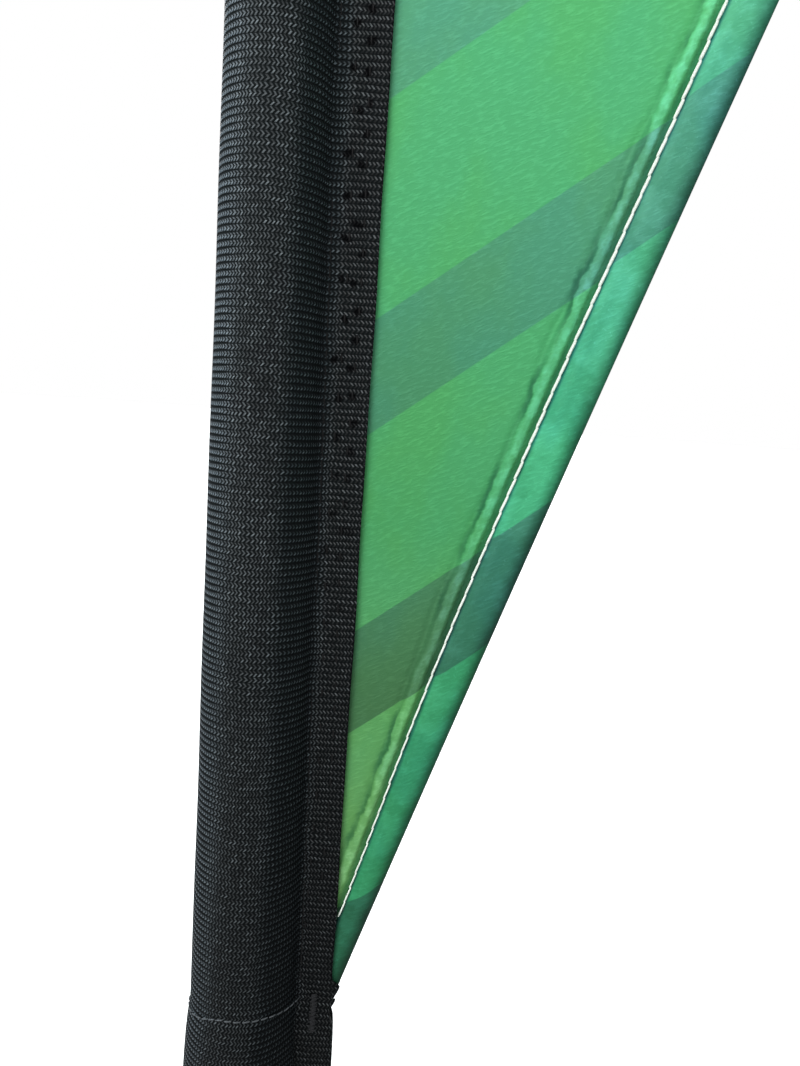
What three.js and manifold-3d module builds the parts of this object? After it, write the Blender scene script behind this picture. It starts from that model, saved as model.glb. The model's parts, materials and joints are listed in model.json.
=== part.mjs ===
// Small teardrop flag on a folding cross base with a turning spindle.
// Millimetres, +Z up. The origin is on the floor under the pole.
// The flag lies in the XZ plane and flies toward +X.
import * as THREE from "three";
import { mergeVertices } from "three/addons/utils/BufferGeometryUtils.js";
import Module from "manifold-3d";

const wasm = await Module();
wasm.setup();

// ---------------------------------------------------------------- driving sizes
const GAP = 0.3; // clearance between pieces that touch
const ROUND = 32; // sides of a turned piece

// cross base
const BAR_LENGTH = 860;
const BAR_WIDTH = 40;
const BAR_THICK = 6;
const PAD_HEIGHT = 7;
const PAD_RADIUS = 17;
const CENTRE_PAD_RADIUS = 26;
const PAD_FLOOR = 2; // rubber left under a rivet or bolt head
const RIVET_RADIUS = 2.5;
const RIVET_HEAD_RADIUS = 5;
const RIVET_HEAD_THICK = 1.8;
const BOLT_RADIUS = 5;
const BOLT_HEAD_RADIUS = 11;
const WASHER_THICK = 1.2;
const WASHER_RADIUS = 16;

// turning spindle and its housing
const HOUSING_RADIUS = 23;
const HOUSING_HEIGHT = 48;
const HOUSING_FLOOR = 13;
const CHAMFER = 1.5;
const JOURNAL_RADIUS = 8;
const BUSH_WALL = 6;
const BUSH_HEIGHT = 12;
const BUSH_FLANGE = 2;
const SEAT_RADIUS = 20;
const SEAT_THICK = 6;
const SPINDLE_LENGTH = 250;
const RING_THICK = 1.4;
const RING_DEPTH = 1.6;

// pole
const TUBE_RADIUS = 10;
const TUBE_BORE_RADIUS = 8.2;
const LOWER_TUBE_LENGTH = 710;
const MIDDLE_TUBE_LENGTH = 740;
const SPIGOT_LENGTH = 180;
const SPIGOT_WALL = 2.2;
const FERRULE_WALL = 2.4;
const FERRULE_HEIGHT = 28;
const ROD_INSERT = 110; // rod length inside the middle tube
const ROD_ROOT_RADIUS = 6;
const ROD_TIP_RADIUS = 3;
const ROD_BUSH_HEIGHT = 60;
const TIP_CAP_WALL = 1.6;
const TIP_CAP_LENGTH = 14;

// pole bend: heading from upright = BEND_ANGLE * t^3 * (4 - 3t)
const STRAIGHT_ABOVE_TUBE = 30;
const BEND_LENGTH = 1400;
const BEND_ANGLE = THREE.MathUtils.degToRad(172);
const BEND_STEPS = 30;

// cloth
const TIP_HEIGHT = 450; // lower tip of the flag above the floor
const TIP_ANGLE = THREE.MathUtils.degToRad(18); // trailing edge from the pole at that tip
const CLOTH_THICK = 0.8; // panel solid
const TIP_CLEAR = 1.4; // lower tip beyond the sleeve's band
const HEM_WIDTH = 9;
const HEM_THICK = 1.6;
const SLEEVE_THICK = 0.9;
const SLEEVE_EASE = 0.6; // room between pole and sleeve
const SEAM_ROOM = 1.9; // from the sleeve's inner wall to its long seam
const BAND_WIDTH = 10.3; // the sleeve's flat band, from that seam to its edge
const CUFF_THICK = 1;
const CUFF_LENGTH = 71;
const CUFF_DROP = 4; // cuff top below the flag's lower tip
const CUFF_LAP = 20; // sleeve length inside the cuff
const POCKET_LENGTH = 44;
const POCKET_THICK = 1.2;

// tether: strap, snap hook and pole collar
const STRAP_WIDTH = 11;
const STRAP_LAYER = 1.5;
const STRAP_SEWN = 25; // strap length held inside the cuff
const HOOK_THICK = 5;
const HOOK_LIMB = 4;
const HOOK_INNER_RADIUS = 7;
const HOOK_GATE_LENGTH = 24;
const HOOK_RISE = 45; // bow centre to strap bar
const HOOK_DROP = 45; // strap bar below the cuff
const GATE_THICK = 2.2;
const PIN_RADIUS = 1.2;
const COLLAR_WALL = 3.4;
const COLLAR_HEIGHT = 16;
const LUG_THICK = 5;
const LUG_HOLE_RADIUS = 4;
const LUG_RIM = 3;
const SCREW_RADIUS = 2;
const SCREW_HEAD_RADIUS = 3.8;

// ---------------------------------------------------------------- heights from the floor up
const lowerBarBottom = PAD_HEIGHT + GAP;
const lowerBarTop = lowerBarBottom + BAR_THICK;
const frictionWasherBottom = lowerBarTop + GAP;
const upperBarBottom = frictionWasherBottom + WASHER_THICK + GAP;
const upperBarTop = upperBarBottom + BAR_THICK;
const topWasherBottom = upperBarTop + GAP;
const housingBottom = topWasherBottom + WASHER_THICK + GAP;
const housingTop = housingBottom + HOUSING_HEIGHT;
const housingFloorTop = housingBottom + HOUSING_FLOOR;
const upperFlangeBottom = housingTop + GAP;
const seatBottom = upperFlangeBottom + BUSH_FLANGE + GAP;
const seatTop = seatBottom + SEAT_THICK;
const ferruleBottom = seatTop + GAP;
const lowerTubeBottom = ferruleBottom + FERRULE_WALL + GAP;
const lowerTubeTop = lowerTubeBottom + LOWER_TUBE_LENGTH;
const middleTubeBottom = lowerTubeTop + GAP;
const middleTubeTop = middleTubeBottom + MIDDLE_TUBE_LENGTH;
const rodBushFlangeTop = middleTubeTop + GAP + BUSH_FLANGE;
const bendStart = rodBushFlangeTop + STRAIGHT_ABOVE_TUBE;
const cuffTop = TIP_HEIGHT - CUFF_DROP;
const cuffBottom = cuffTop - CUFF_LENGTH;
const sleeveBottom = cuffTop - CUFF_LAP;
const strapBarHeight = cuffBottom - HOOK_DROP;
const bowHeight = strapBarHeight - HOOK_RISE;

const endHoleAt = BAR_LENGTH / 2 - BAR_WIDTH / 2;
const sleeveInner = TUBE_RADIUS + SLEEVE_EASE;
const pinch = sleeveInner + SEAM_ROOM;
const bandEdge = pinch + BAND_WIDTH;
const lipInner = CLOTH_THICK / 2 + GAP;

// ---------------------------------------------------------------- materials
const paint = (color, roughness, metalness) => new THREE.MeshStandardMaterial({ color, roughness, metalness });
const barPaint = () => paint(0x2b2d2f, 0.5, 0.4);
const padRubber = () => paint(0x1b1b1c, 0.85, 0);
const zinc = () => paint(0xb9bcc0, 0.35, 1);
const nylon = () => paint(0xe4e2da, 0.5, 0);
const tubeFinish = () => paint(0x1c1d1f, 0.4, 0.1);
const aluminium = () => paint(0xa9adb2, 0.35, 1);
const sleeveCloth = () => paint(0x242729, 0.8, 0);
const panelCloth = () => paint(0x51a569, 0.6, 0);
const hemCloth = () => paint(0x4fa284, 0.6, 0);

// ---------------------------------------------------------------- helpers
const flag = new THREE.Group();

/** Adds one named piece and returns its mesh. */
function add(name, geometry, material) {
  const mesh = new THREE.Mesh(geometry, material);
  mesh.name = name;
  flag.add(mesh);
  return mesh;
}

/** Turned piece about Z from closed [radius, height] points, listed up the outside and down the inside. */
function turned(points, sides = ROUND) {
  const first = points[0];
  const outline = [...points, ...(first[0] > 0 ? [first] : [])].map(([r, z]) => new THREE.Vector2(r, z));
  const geometry = new THREE.LatheGeometry(outline, sides);
  geometry.rotateX(Math.PI / 2);
  return geometry;
}

/** Ring or tube between two radii and two heights. */
function ring(inner, outer, bottom, top, sides = ROUND) {
  return turned([[inner, bottom], [outer, bottom], [outer, top], [inner, top]], sides);
}

/** three.js geometry to a manifold solid. */
function solid(geometry) {
  const bare = geometry.clone();
  bare.deleteAttribute("normal");
  bare.deleteAttribute("uv");
  const merged = mergeVertices(bare, 1e-4);
  return new wasm.Manifold(new wasm.Mesh({
    numProp: 3,
    vertProperties: new Float32Array(merged.attributes.position.array),
    triVerts: new Uint32Array(merged.index.array),
  }));
}

/** Manifold solid back to a three.js geometry. */
function fromSolid(body) {
  const mesh = body.getMesh();
  const geometry = new THREE.BufferGeometry();
  geometry.setAttribute("position", new THREE.BufferAttribute(mesh.vertProperties, 3));
  geometry.setIndex(new THREE.BufferAttribute(mesh.triVerts, 1));
  geometry.computeVertexNormals();
  return geometry;
}

/** Outline in the XZ plane given a thickness in Y about the flag's plane. */
function plate(shape, thick, curveSegments = 10) {
  const geometry = new THREE.ExtrudeGeometry(shape, { depth: thick, bevelEnabled: false, curveSegments });
  geometry.translate(0, 0, -thick / 2);
  geometry.rotateX(Math.PI / 2);
  return geometry;
}

/** Cylinder along an axis between two places on it. */
function pin(axis, radius, from, to, sides = 20) {
  const geometry = new THREE.CylinderGeometry(radius, radius, to - from, sides);
  geometry.translate(0, (from + to) / 2, 0);
  if (axis === "x") geometry.rotateZ(-Math.PI / 2);
  if (axis === "z") geometry.rotateX(Math.PI / 2);
  return geometry;
}

// ---------------------------------------------------------------- pole centreline
/** Stations up the bent part, each with its place, its heading and the direction toward the flag's inside. */
function bendStations() {
  const stations = [];
  const step = BEND_LENGTH / BEND_STEPS;
  const finer = 8;
  let x = 0;
  let z = bendStart;
  const headingAt = (t) => BEND_ANGLE * t ** 3 * (4 - 3 * t);
  for (let i = 0; i <= BEND_STEPS; i += 1) {
    const heading = headingAt(i / BEND_STEPS);
    const inside = [Math.cos(heading), -Math.sin(heading)];
    stations.push({ x, z, heading, inside, length: i * step });
    for (let j = 0; j < finer; j += 1) {
      const middle = headingAt((i + (j + 0.5) / finer) / BEND_STEPS);
      x += Math.sin(middle) * (step / finer);
      z += Math.cos(middle) * (step / finer);
    }
  }
  return stations;
}

const bend = bendStations();
const bendEnd = bend[bend.length - 1];

/** Station on the upright part of the pole. */
const upright = (height) => ({ x: 0, z: height, heading: 0, inside: [1, 0], length: height - bendStart });

/** Station past or before the end of the bend, along the end's heading. */
function beyondEnd(distance) {
  return {
    ...bendEnd,
    x: bendEnd.x + Math.sin(bendEnd.heading) * distance,
    z: bendEnd.z + Math.cos(bendEnd.heading) * distance,
    length: bendEnd.length + distance,
  };
}

/** Point at a station: u toward the flag's inside, v across the flag's plane. */
const atStation = (station, u, v) => [station.x + u * station.inside[0], v, station.z + u * station.inside[1]];

/** Closed solid through equal rings of points, capped at both ends. */
function loft(sections) {
  const count = sections[0].outline.length;
  const vertices = sections.flatMap(({ station, outline }) => outline.flatMap(([u, v]) => atStation(station, u, v)));
  const faces = [];
  for (let i = 0; i + 1 < sections.length; i += 1) {
    for (let j = 0; j < count; j += 1) {
      const a = i * count + j;
      const b = i * count + ((j + 1) % count);
      faces.push(a, b, a + count, b, b + count, a + count);
    }
  }
  const caps = [[0, false], [sections.length - 1, true]];
  for (const [index, far] of caps) {
    const points = sections[index].outline.map(([u, v]) => new THREE.Vector2(u, v));
    for (const [a, b, c] of THREE.ShapeUtils.triangulateShape(points, [])) {
      const base = index * count;
      faces.push(base + a, base + (far ? b : c), base + (far ? c : b));
    }
  }
  const geometry = new THREE.BufferGeometry();
  geometry.setAttribute("position", new THREE.Float32BufferAttribute(vertices, 3));
  geometry.setIndex(faces);
  geometry.computeVertexNormals();
  return geometry;
}

/** Round outline, anticlockwise. */
function circle(radius, sides) {
  return Array.from({ length: sides }, (_, i) => {
    const angle = (i / sides) * 2 * Math.PI;
    return [radius * Math.cos(angle), radius * Math.sin(angle)];
  });
}

/** Half of a keyhole line, from the band's edge over the round part: radius, seam place and lip height. */
function keyholeHalf(radius, seam, lip, edge, steps = 9) {
  const reach = Math.hypot(seam, lip);
  const start = Math.acos(Math.min(1, radius / reach)) + Math.atan2(lip, seam);
  const points = [[edge, lip], [seam, lip]];
  for (let i = 0; i <= steps; i += 1) {
    const angle = start + ((Math.PI - start) * i) / steps;
    points.push([radius * Math.cos(angle), radius * Math.sin(angle)]);
  }
  return points;
}

/** Closed keyhole line: the upper half and its mirror image. */
function keyhole(radius, seam, lip, edge) {
  const half = keyholeHalf(radius, seam, lip, edge);
  const mirrored = half.slice(0, -1).reverse().map(([u, v]) => [u, -v]);
  return [...half, ...mirrored];
}

/** One strip of cloth wrapped around the pole, its two lips side by side. */
function wrapped(inner, thick, seam, lip, edge) {
  const outside = keyhole(inner + thick, seam + thick / 2, lip + thick, edge);
  const inside = keyhole(inner, seam, lip, edge);
  return [...outside, ...inside.reverse()];
}

// ---------------------------------------------------------------- cross base
/** Flat bar with round ends, a centre hole and a hole near each end, along X. */
function bar(bottom) {
  const straight = BAR_LENGTH / 2 - BAR_WIDTH / 2;
  const shape = new THREE.Shape();
  shape.moveTo(-straight, -BAR_WIDTH / 2);
  shape.lineTo(straight, -BAR_WIDTH / 2);
  shape.absarc(straight, 0, BAR_WIDTH / 2, -Math.PI / 2, Math.PI / 2, false);
  shape.lineTo(-straight, BAR_WIDTH / 2);
  shape.absarc(-straight, 0, BAR_WIDTH / 2, Math.PI / 2, 1.5 * Math.PI, false);
  const holes = [[0, BOLT_RADIUS + GAP], [-endHoleAt, RIVET_RADIUS + GAP], [endHoleAt, RIVET_RADIUS + GAP]];
  for (const [at, radius] of holes) {
    const hole = new THREE.Path();
    hole.absarc(at, 0, radius, 0, 2 * Math.PI, true);
    shape.holes.push(hole);
  }
  const geometry = new THREE.ExtrudeGeometry(shape, { depth: BAR_THICK, bevelEnabled: false, curveSegments: 14 });
  geometry.translate(0, 0, bottom);
  return geometry;
}

/** Rubber foot with a step for the rivet head under it. */
function foot(height) {
  const hole = RIVET_RADIUS + GAP;
  const recess = RIVET_HEAD_RADIUS + GAP;
  const step = PAD_FLOOR + RIVET_HEAD_THICK;
  return turned([
    [recess, 0], [PAD_RADIUS - CHAMFER, 0], [PAD_RADIUS, CHAMFER], [PAD_RADIUS, height],
    [hole, height], [hole, step + GAP], [recess, step + GAP],
  ], 24);
}

/** Rivet that holds a foot under a bar. */
function rivet(barTop) {
  const neck = PAD_FLOOR + RIVET_HEAD_THICK;
  const head = barTop + GAP;
  return turned([
    [0, PAD_FLOOR], [RIVET_HEAD_RADIUS, PAD_FLOOR], [RIVET_HEAD_RADIUS, neck], [RIVET_RADIUS, neck],
    [RIVET_RADIUS, head], [RIVET_HEAD_RADIUS, head], [RIVET_HEAD_RADIUS * 0.7, head + RIVET_HEAD_THICK],
    [0, head + RIVET_HEAD_THICK],
  ], 16);
}

function buildBase() {
  add("lower_bar", bar(lowerBarBottom), barPaint());
  add("upper_bar", bar(upperBarBottom).rotateZ(Math.PI / 2), barPaint());
  const feet = [
    ["lower_foot_right", endHoleAt, 0, PAD_HEIGHT, lowerBarTop],
    ["lower_foot_left", -endHoleAt, 0, PAD_HEIGHT, lowerBarTop],
    ["upper_foot_back", 0, endHoleAt, upperBarBottom - GAP, upperBarTop],
    ["upper_foot_front", 0, -endHoleAt, upperBarBottom - GAP, upperBarTop],
  ];
  for (const [name, x, y, height, barTop] of feet) {
    add(name, foot(height), padRubber()).position.set(x, y, 0);
    add(name.replace("foot", "rivet"), rivet(barTop), zinc()).position.set(x, y, 0);
  }
  add("centre_pad", turned([
    [0, 0], [CENTRE_PAD_RADIUS - CHAMFER, 0], [CENTRE_PAD_RADIUS, CHAMFER], [CENTRE_PAD_RADIUS, PAD_HEIGHT],
    [BOLT_HEAD_RADIUS + GAP, PAD_HEIGHT], [BOLT_HEAD_RADIUS + GAP, PAD_FLOOR], [0, PAD_FLOOR],
  ]), padRubber());
  add("pivot_bolt", turned([
    [0, PAD_FLOOR + GAP], [BOLT_HEAD_RADIUS - CHAMFER, PAD_FLOOR + GAP],
    [BOLT_HEAD_RADIUS, PAD_FLOOR + GAP + CHAMFER], [BOLT_HEAD_RADIUS, PAD_HEIGHT], [BOLT_RADIUS, PAD_HEIGHT],
    [BOLT_RADIUS, housingFloorTop - CHAMFER * 2], [0, housingFloorTop - CHAMFER * 2],
  ], 24), zinc());
  const washer = (bottom) => ring(BOLT_RADIUS + GAP, WASHER_RADIUS, bottom, bottom + WASHER_THICK);
  add("friction_washer", washer(frictionWasherBottom), nylon());
  add("top_washer", washer(topWasherBottom), nylon());
}

// ---------------------------------------------------------------- spindle
function buildSpindle() {
  const bushOuter = JOURNAL_RADIUS + BUSH_WALL;
  const cavity = bushOuter + GAP;
  const boltHole = BOLT_RADIUS + GAP;
  const ringBottom = housingFloorTop + 3;
  const lowerBushBottom = ringBottom + RING_THICK + GAP;
  const journalBottom = housingFloorTop + 1;
  const grooveRadius = JOURNAL_RADIUS - RING_DEPTH;
  const boltHoleTop = housingFloorTop - CHAMFER;
  add("bearing_housing", turned([
    [boltHole, housingBottom], [HOUSING_RADIUS, housingBottom], [HOUSING_RADIUS, housingTop - CHAMFER],
    [HOUSING_RADIUS - CHAMFER, housingTop], [cavity, housingTop], [cavity, housingFloorTop],
    [0, housingFloorTop], [0, boltHoleTop], [boltHole, boltHoleTop],
  ], 40), barPaint());
  add("lower_bush", ring(JOURNAL_RADIUS + GAP, bushOuter, lowerBushBottom, lowerBushBottom + BUSH_HEIGHT), nylon());
  add("upper_bush", turned([
    [JOURNAL_RADIUS + GAP, housingTop - BUSH_HEIGHT], [bushOuter, housingTop - BUSH_HEIGHT],
    [bushOuter, upperFlangeBottom], [SEAT_RADIUS - CHAMFER, upperFlangeBottom],
    [SEAT_RADIUS - CHAMFER, upperFlangeBottom + BUSH_FLANGE], [JOURNAL_RADIUS + GAP, upperFlangeBottom + BUSH_FLANGE],
  ]), nylon());
  const rodRadius = TUBE_BORE_RADIUS - 2 * GAP;
  const rodTop = seatTop + SPINDLE_LENGTH;
  add("spindle", turned([
    [0, journalBottom], [JOURNAL_RADIUS, journalBottom], [JOURNAL_RADIUS, ringBottom - GAP],
    [grooveRadius, ringBottom - GAP], [grooveRadius, ringBottom + RING_THICK + GAP],
    [JOURNAL_RADIUS, ringBottom + RING_THICK + GAP], [JOURNAL_RADIUS, seatBottom], [SEAT_RADIUS, seatBottom],
    [SEAT_RADIUS, seatTop - CHAMFER], [SEAT_RADIUS - CHAMFER, seatTop], [rodRadius, seatTop],
    [rodRadius, rodTop - rodRadius / 2], [rodRadius / 2, rodTop], [0, rodTop],
  ]), zinc());
  const clip = new THREE.Shape();
  const opening = 0.45;
  clip.absarc(0, 0, JOURNAL_RADIUS + RING_DEPTH, opening, 2 * Math.PI - opening, false);
  clip.absarc(0, 0, grooveRadius + GAP, 2 * Math.PI - opening, opening, true);
  const clipGeometry = new THREE.ExtrudeGeometry(clip, { depth: RING_THICK, bevelEnabled: false, curveSegments: 20 });
  add("retaining_ring", clipGeometry.translate(0, 0, ringBottom), zinc());
}

// ---------------------------------------------------------------- pole
function buildPole() {
  add("foot_ferrule", turned([
    [TUBE_BORE_RADIUS, ferruleBottom], [TUBE_RADIUS + GAP + FERRULE_WALL, ferruleBottom],
    [TUBE_RADIUS + GAP + FERRULE_WALL, ferruleBottom + FERRULE_HEIGHT],
    [TUBE_RADIUS + GAP, ferruleBottom + FERRULE_HEIGHT], [TUBE_RADIUS + GAP, ferruleBottom + FERRULE_WALL],
    [TUBE_BORE_RADIUS, ferruleBottom + FERRULE_WALL],
  ]), padRubber());
  add("lower_tube", ring(TUBE_BORE_RADIUS, TUBE_RADIUS, lowerTubeBottom, lowerTubeTop), tubeFinish());
  add("middle_tube", ring(TUBE_BORE_RADIUS, TUBE_RADIUS, middleTubeBottom, middleTubeTop), tubeFinish());
  const spigotRadius = TUBE_BORE_RADIUS - GAP;
  const spigotBottom = lowerTubeTop - SPIGOT_LENGTH / 2;
  const spigotTop = spigotBottom + SPIGOT_LENGTH;
  add("joint_spigot", ring(spigotRadius - SPIGOT_WALL, spigotRadius, spigotBottom, spigotTop, 24), aluminium());
  add("rod_bush", turned([
    [ROD_ROOT_RADIUS + GAP, middleTubeTop - ROD_BUSH_HEIGHT], [spigotRadius, middleTubeTop - ROD_BUSH_HEIGHT],
    [spigotRadius, middleTubeTop + GAP], [TUBE_RADIUS, middleTubeTop + GAP], [TUBE_RADIUS, rodBushFlangeTop],
    [ROD_ROOT_RADIUS + GAP, rodBushFlangeTop],
  ], 24), aluminium());
  const rodSides = 12;
  const taper = (length) => THREE.MathUtils.lerp(ROD_ROOT_RADIUS, ROD_TIP_RADIUS, length / BEND_LENGTH);
  const rodSections = [
    { station: upright(middleTubeTop - ROD_INSERT), outline: circle(ROD_ROOT_RADIUS, rodSides) },
    ...bend.map((station) => ({ station, outline: circle(taper(station.length), rodSides) })),
  ];
  add("tip_rod", loft(rodSections), paint(0x18191a, 0.35, 0));
  const capInner = ROD_TIP_RADIUS + 2 * GAP;
  const capOuter = capInner + TIP_CAP_WALL;
  const cap = add("tip_cap", turned([
    [0, GAP], [capInner, GAP], [capInner, -TIP_CAP_LENGTH], [capOuter, -TIP_CAP_LENGTH],
    [capOuter, GAP], [capOuter * 0.75, GAP + TIP_CAP_WALL], [0, GAP + TIP_CAP_WALL],
  ], 16), padRubber());
  cap.position.set(bendEnd.x, 0, bendEnd.z);
  cap.rotation.y = bendEnd.heading;
}

// ---------------------------------------------------------------- cloth
/** Trailing edge from the lower tip to the upper corner, moved inward by a distance. */
function trailingEdge(low, high, inward, steps = 26) {
  const rise = high[1] - low[1];
  const slope = Math.tan(TIP_ANGLE);
  const hollow = (high[0] - low[0] - slope * rise) / rise ** 2;
  return Array.from({ length: steps + 1 }, (_, i) => {
    const h = (rise * i) / steps;
    const lean = slope + 2 * hollow * h;
    const across = Math.hypot(1, lean);
    const x = low[0] + slope * h + hollow * h * h - inward / across;
    return [x, low[1] + h + (inward * lean) / across];
  });
}

/** Line at a fixed distance inside the pole's centreline, from a height up to the last station. */
const beside = (u, from, stations) => [upright(from), ...stations].map((station) => {
  const [x, , z] = atStation(station, u, 0);
  return [x, z];
});

/** Flat region of the flag's plane given a thickness about it. */
function cloth(region, thick) {
  const body = wasm.Manifold.extrude(region, thick).translate([0, 0, -thick / 2]).rotate([90, 0, 0]);
  return fromSolid(body);
}

function buildFlag() {
  const pocketStart = beyondEnd(-POCKET_LENGTH);
  const held = bend.filter((station) => station.length < pocketStart.length - 2 * GAP);
  const corner = beyondEnd(-POCKET_LENGTH - 2 * GAP);
  const stations = [...held, corner];
  const seam = pinch + 2 * GAP;
  const outside = bandEdge + GAP;
  const low = [outside + TIP_CLEAR, TIP_HEIGHT];
  const [cornerX, , cornerZ] = atStation(corner, outside + HEM_WIDTH, 0);
  const high = [cornerX, cornerZ];
  const Region = wasm.CrossSection;
  const lead = beside(seam, TIP_HEIGHT, stations);
  const whole = new Region([[...lead, ...trailingEdge(low, high, 0).reverse()]], "NonZero");
  const overrun = 3 * HEM_WIDTH;
  const edge = trailingEdge(low, high, -overrun);
  const hemZone = new Region([[...edge, ...trailingEdge(low, high, HEM_WIDTH).reverse()]], "NonZero");
  const panelZone = new Region([[...edge, ...trailingEdge(low, high, HEM_WIDTH + GAP).reverse()]], "NonZero");
  const bandZone = new Region([[
    ...beside(0, 0, stations), ...beside(outside, 0, stations).reverse(),
  ]], "NonZero");
  const largest = (region) => region.decompose().reduce((a, b) => (a.area() > b.area() ? a : b));
  add("flag_panel", cloth(largest(whole.subtract(panelZone)), CLOTH_THICK), panelCloth());
  add("trailing_hem", cloth(largest(whole.intersect(hemZone).subtract(bandZone)), HEM_THICK), hemCloth());

  const sleeve = wrapped(sleeveInner, SLEEVE_THICK, pinch, lipInner, bandEdge);
  const sleeveStations = [upright(sleeveBottom), ...bend.slice(0, -1), beyondEnd(-GAP)];
  add("pole_sleeve", loft(sleeveStations.map((station) => ({ station, outline: sleeve }))), sleeveCloth());

  const cuffInner = sleeveInner + SLEEVE_THICK + GAP;
  const cuffLip = lipInner + SLEEVE_THICK + GAP;
  const cuffSeam = pinch + SLEEVE_THICK + GAP;
  const cuff = wrapped(cuffInner, CUFF_THICK, cuffSeam, cuffLip, bandEdge + CUFF_THICK);
  const cuffSections = [cuffBottom, cuffTop].map((height) => ({ station: upright(height), outline: cuff }));
  add("sleeve_cuff", loft(cuffSections), sleeveCloth());

  const pocketIn = keyhole(cuffInner, cuffSeam, cuffLip, bandEdge + GAP);
  const pocketOut = keyhole(
    cuffInner + POCKET_THICK, cuffSeam + POCKET_THICK, cuffLip + POCKET_THICK, bandEdge + GAP + POCKET_THICK,
  );
  const pocketDeep = GAP + TIP_CAP_WALL + 2 * GAP;
  add("tip_pocket", loft([
    { station: beyondEnd(pocketDeep), outline: pocketIn },
    { station: pocketStart, outline: pocketIn },
    { station: pocketStart, outline: pocketOut },
    { station: beyondEnd(pocketDeep + POCKET_THICK), outline: pocketOut },
  ]), sleeveCloth());
}

// ---------------------------------------------------------------- tether
const limbX = TUBE_RADIUS + GAP + COLLAR_WALL + HOOK_LIMB / 2 + 3;
const bowX = limbX + HOOK_LIMB / 2 + HOOK_INNER_RADIUS;
const gateX = bowX + HOOK_INNER_RADIUS + HOOK_LIMB / 2;
const gateLow = bowHeight + 2;
const pivotHeight = gateLow + HOOK_GATE_LENGTH;
const slotHalf = STRAP_WIDTH / 2 + 2 * GAP;
const frameLow = TUBE_RADIUS + 4 * GAP;
const slotX = frameLow + HOOK_LIMB - 1 + slotHalf;
const loopInner = Math.hypot(HOOK_LIMB / 2, HOOK_THICK / 2) + GAP;
const loopOuter = loopInner + STRAP_LAYER;

/** Cast snap hook: bow, limb, gate nose, gate shoulder and strap slot, with a slot for the gate. */
function hookBody() {
  const outer = HOOK_INNER_RADIUS + HOOK_LIMB;
  const shape = new THREE.Shape();
  const shoulderTop = strapBarHeight - HOOK_LIMB / 2 - loopOuter - HOOK_LIMB;
  const frameHigh = slotX + slotHalf + HOOK_LIMB - 1;
  const barTop = strapBarHeight + HOOK_LIMB / 2;
  shape.moveTo(bowX - outer, bowHeight);
  shape.absarc(bowX, bowHeight, outer, Math.PI, 2 * Math.PI, false);
  shape.lineTo(bowX + outer, gateLow - 2 * GAP);
  shape.lineTo(bowX + HOOK_INNER_RADIUS, gateLow - 2 * GAP);
  shape.lineTo(bowX + HOOK_INNER_RADIUS, bowHeight);
  shape.absarc(bowX, bowHeight, HOOK_INNER_RADIUS, 0, -Math.PI, true);
  shape.lineTo(bowX - HOOK_INNER_RADIUS, pivotHeight - HOOK_LIMB);
  shape.lineTo(gateX - HOOK_LIMB, pivotHeight);
  shape.absarc(gateX, pivotHeight, HOOK_LIMB * 0.8, -Math.PI / 2, Math.PI / 2, false);
  shape.lineTo(frameHigh, shoulderTop);
  shape.lineTo(frameHigh, barTop);
  shape.lineTo(frameLow, barTop);
  shape.lineTo(frameLow, shoulderTop - HOOK_LIMB);
  shape.closePath();
  const slot = new THREE.Path();
  slot.moveTo(slotX - slotHalf, shoulderTop + GAP);
  slot.lineTo(slotX - slotHalf, barTop - HOOK_LIMB);
  slot.lineTo(slotX + slotHalf, barTop - HOOK_LIMB);
  slot.lineTo(slotX + slotHalf, shoulderTop + GAP);
  slot.closePath();
  shape.holes.push(slot);
  const gateSlot = new THREE.BoxGeometry(HOOK_LIMB * 4, GATE_THICK + 2 * GAP, HOOK_LIMB * 2.4);
  gateSlot.translate(gateX, 0, pivotHeight - HOOK_LIMB * 0.2);
  const pinHole = pin("y", PIN_RADIUS + GAP, -HOOK_THICK, HOOK_THICK).translate(gateX, 0, pivotHeight);
  return fromSolid(solid(plate(shape, HOOK_THICK)).subtract(solid(gateSlot)).subtract(solid(pinHole)));
}

/** Gate of the snap hook, hanging from its pin. */
function hookGate() {
  const shape = new THREE.Shape();
  const half = HOOK_LIMB / 2;
  shape.moveTo(gateX - half, gateLow);
  shape.lineTo(gateX + half, gateLow);
  shape.lineTo(gateX + half, pivotHeight);
  shape.absarc(gateX, pivotHeight, half, 0, Math.PI, false);
  shape.closePath();
  const hole = new THREE.Path();
  hole.absarc(gateX, pivotHeight, PIN_RADIUS + GAP, 0, 2 * Math.PI, true);
  shape.holes.push(hole);
  return plate(shape, GATE_THICK);
}

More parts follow.
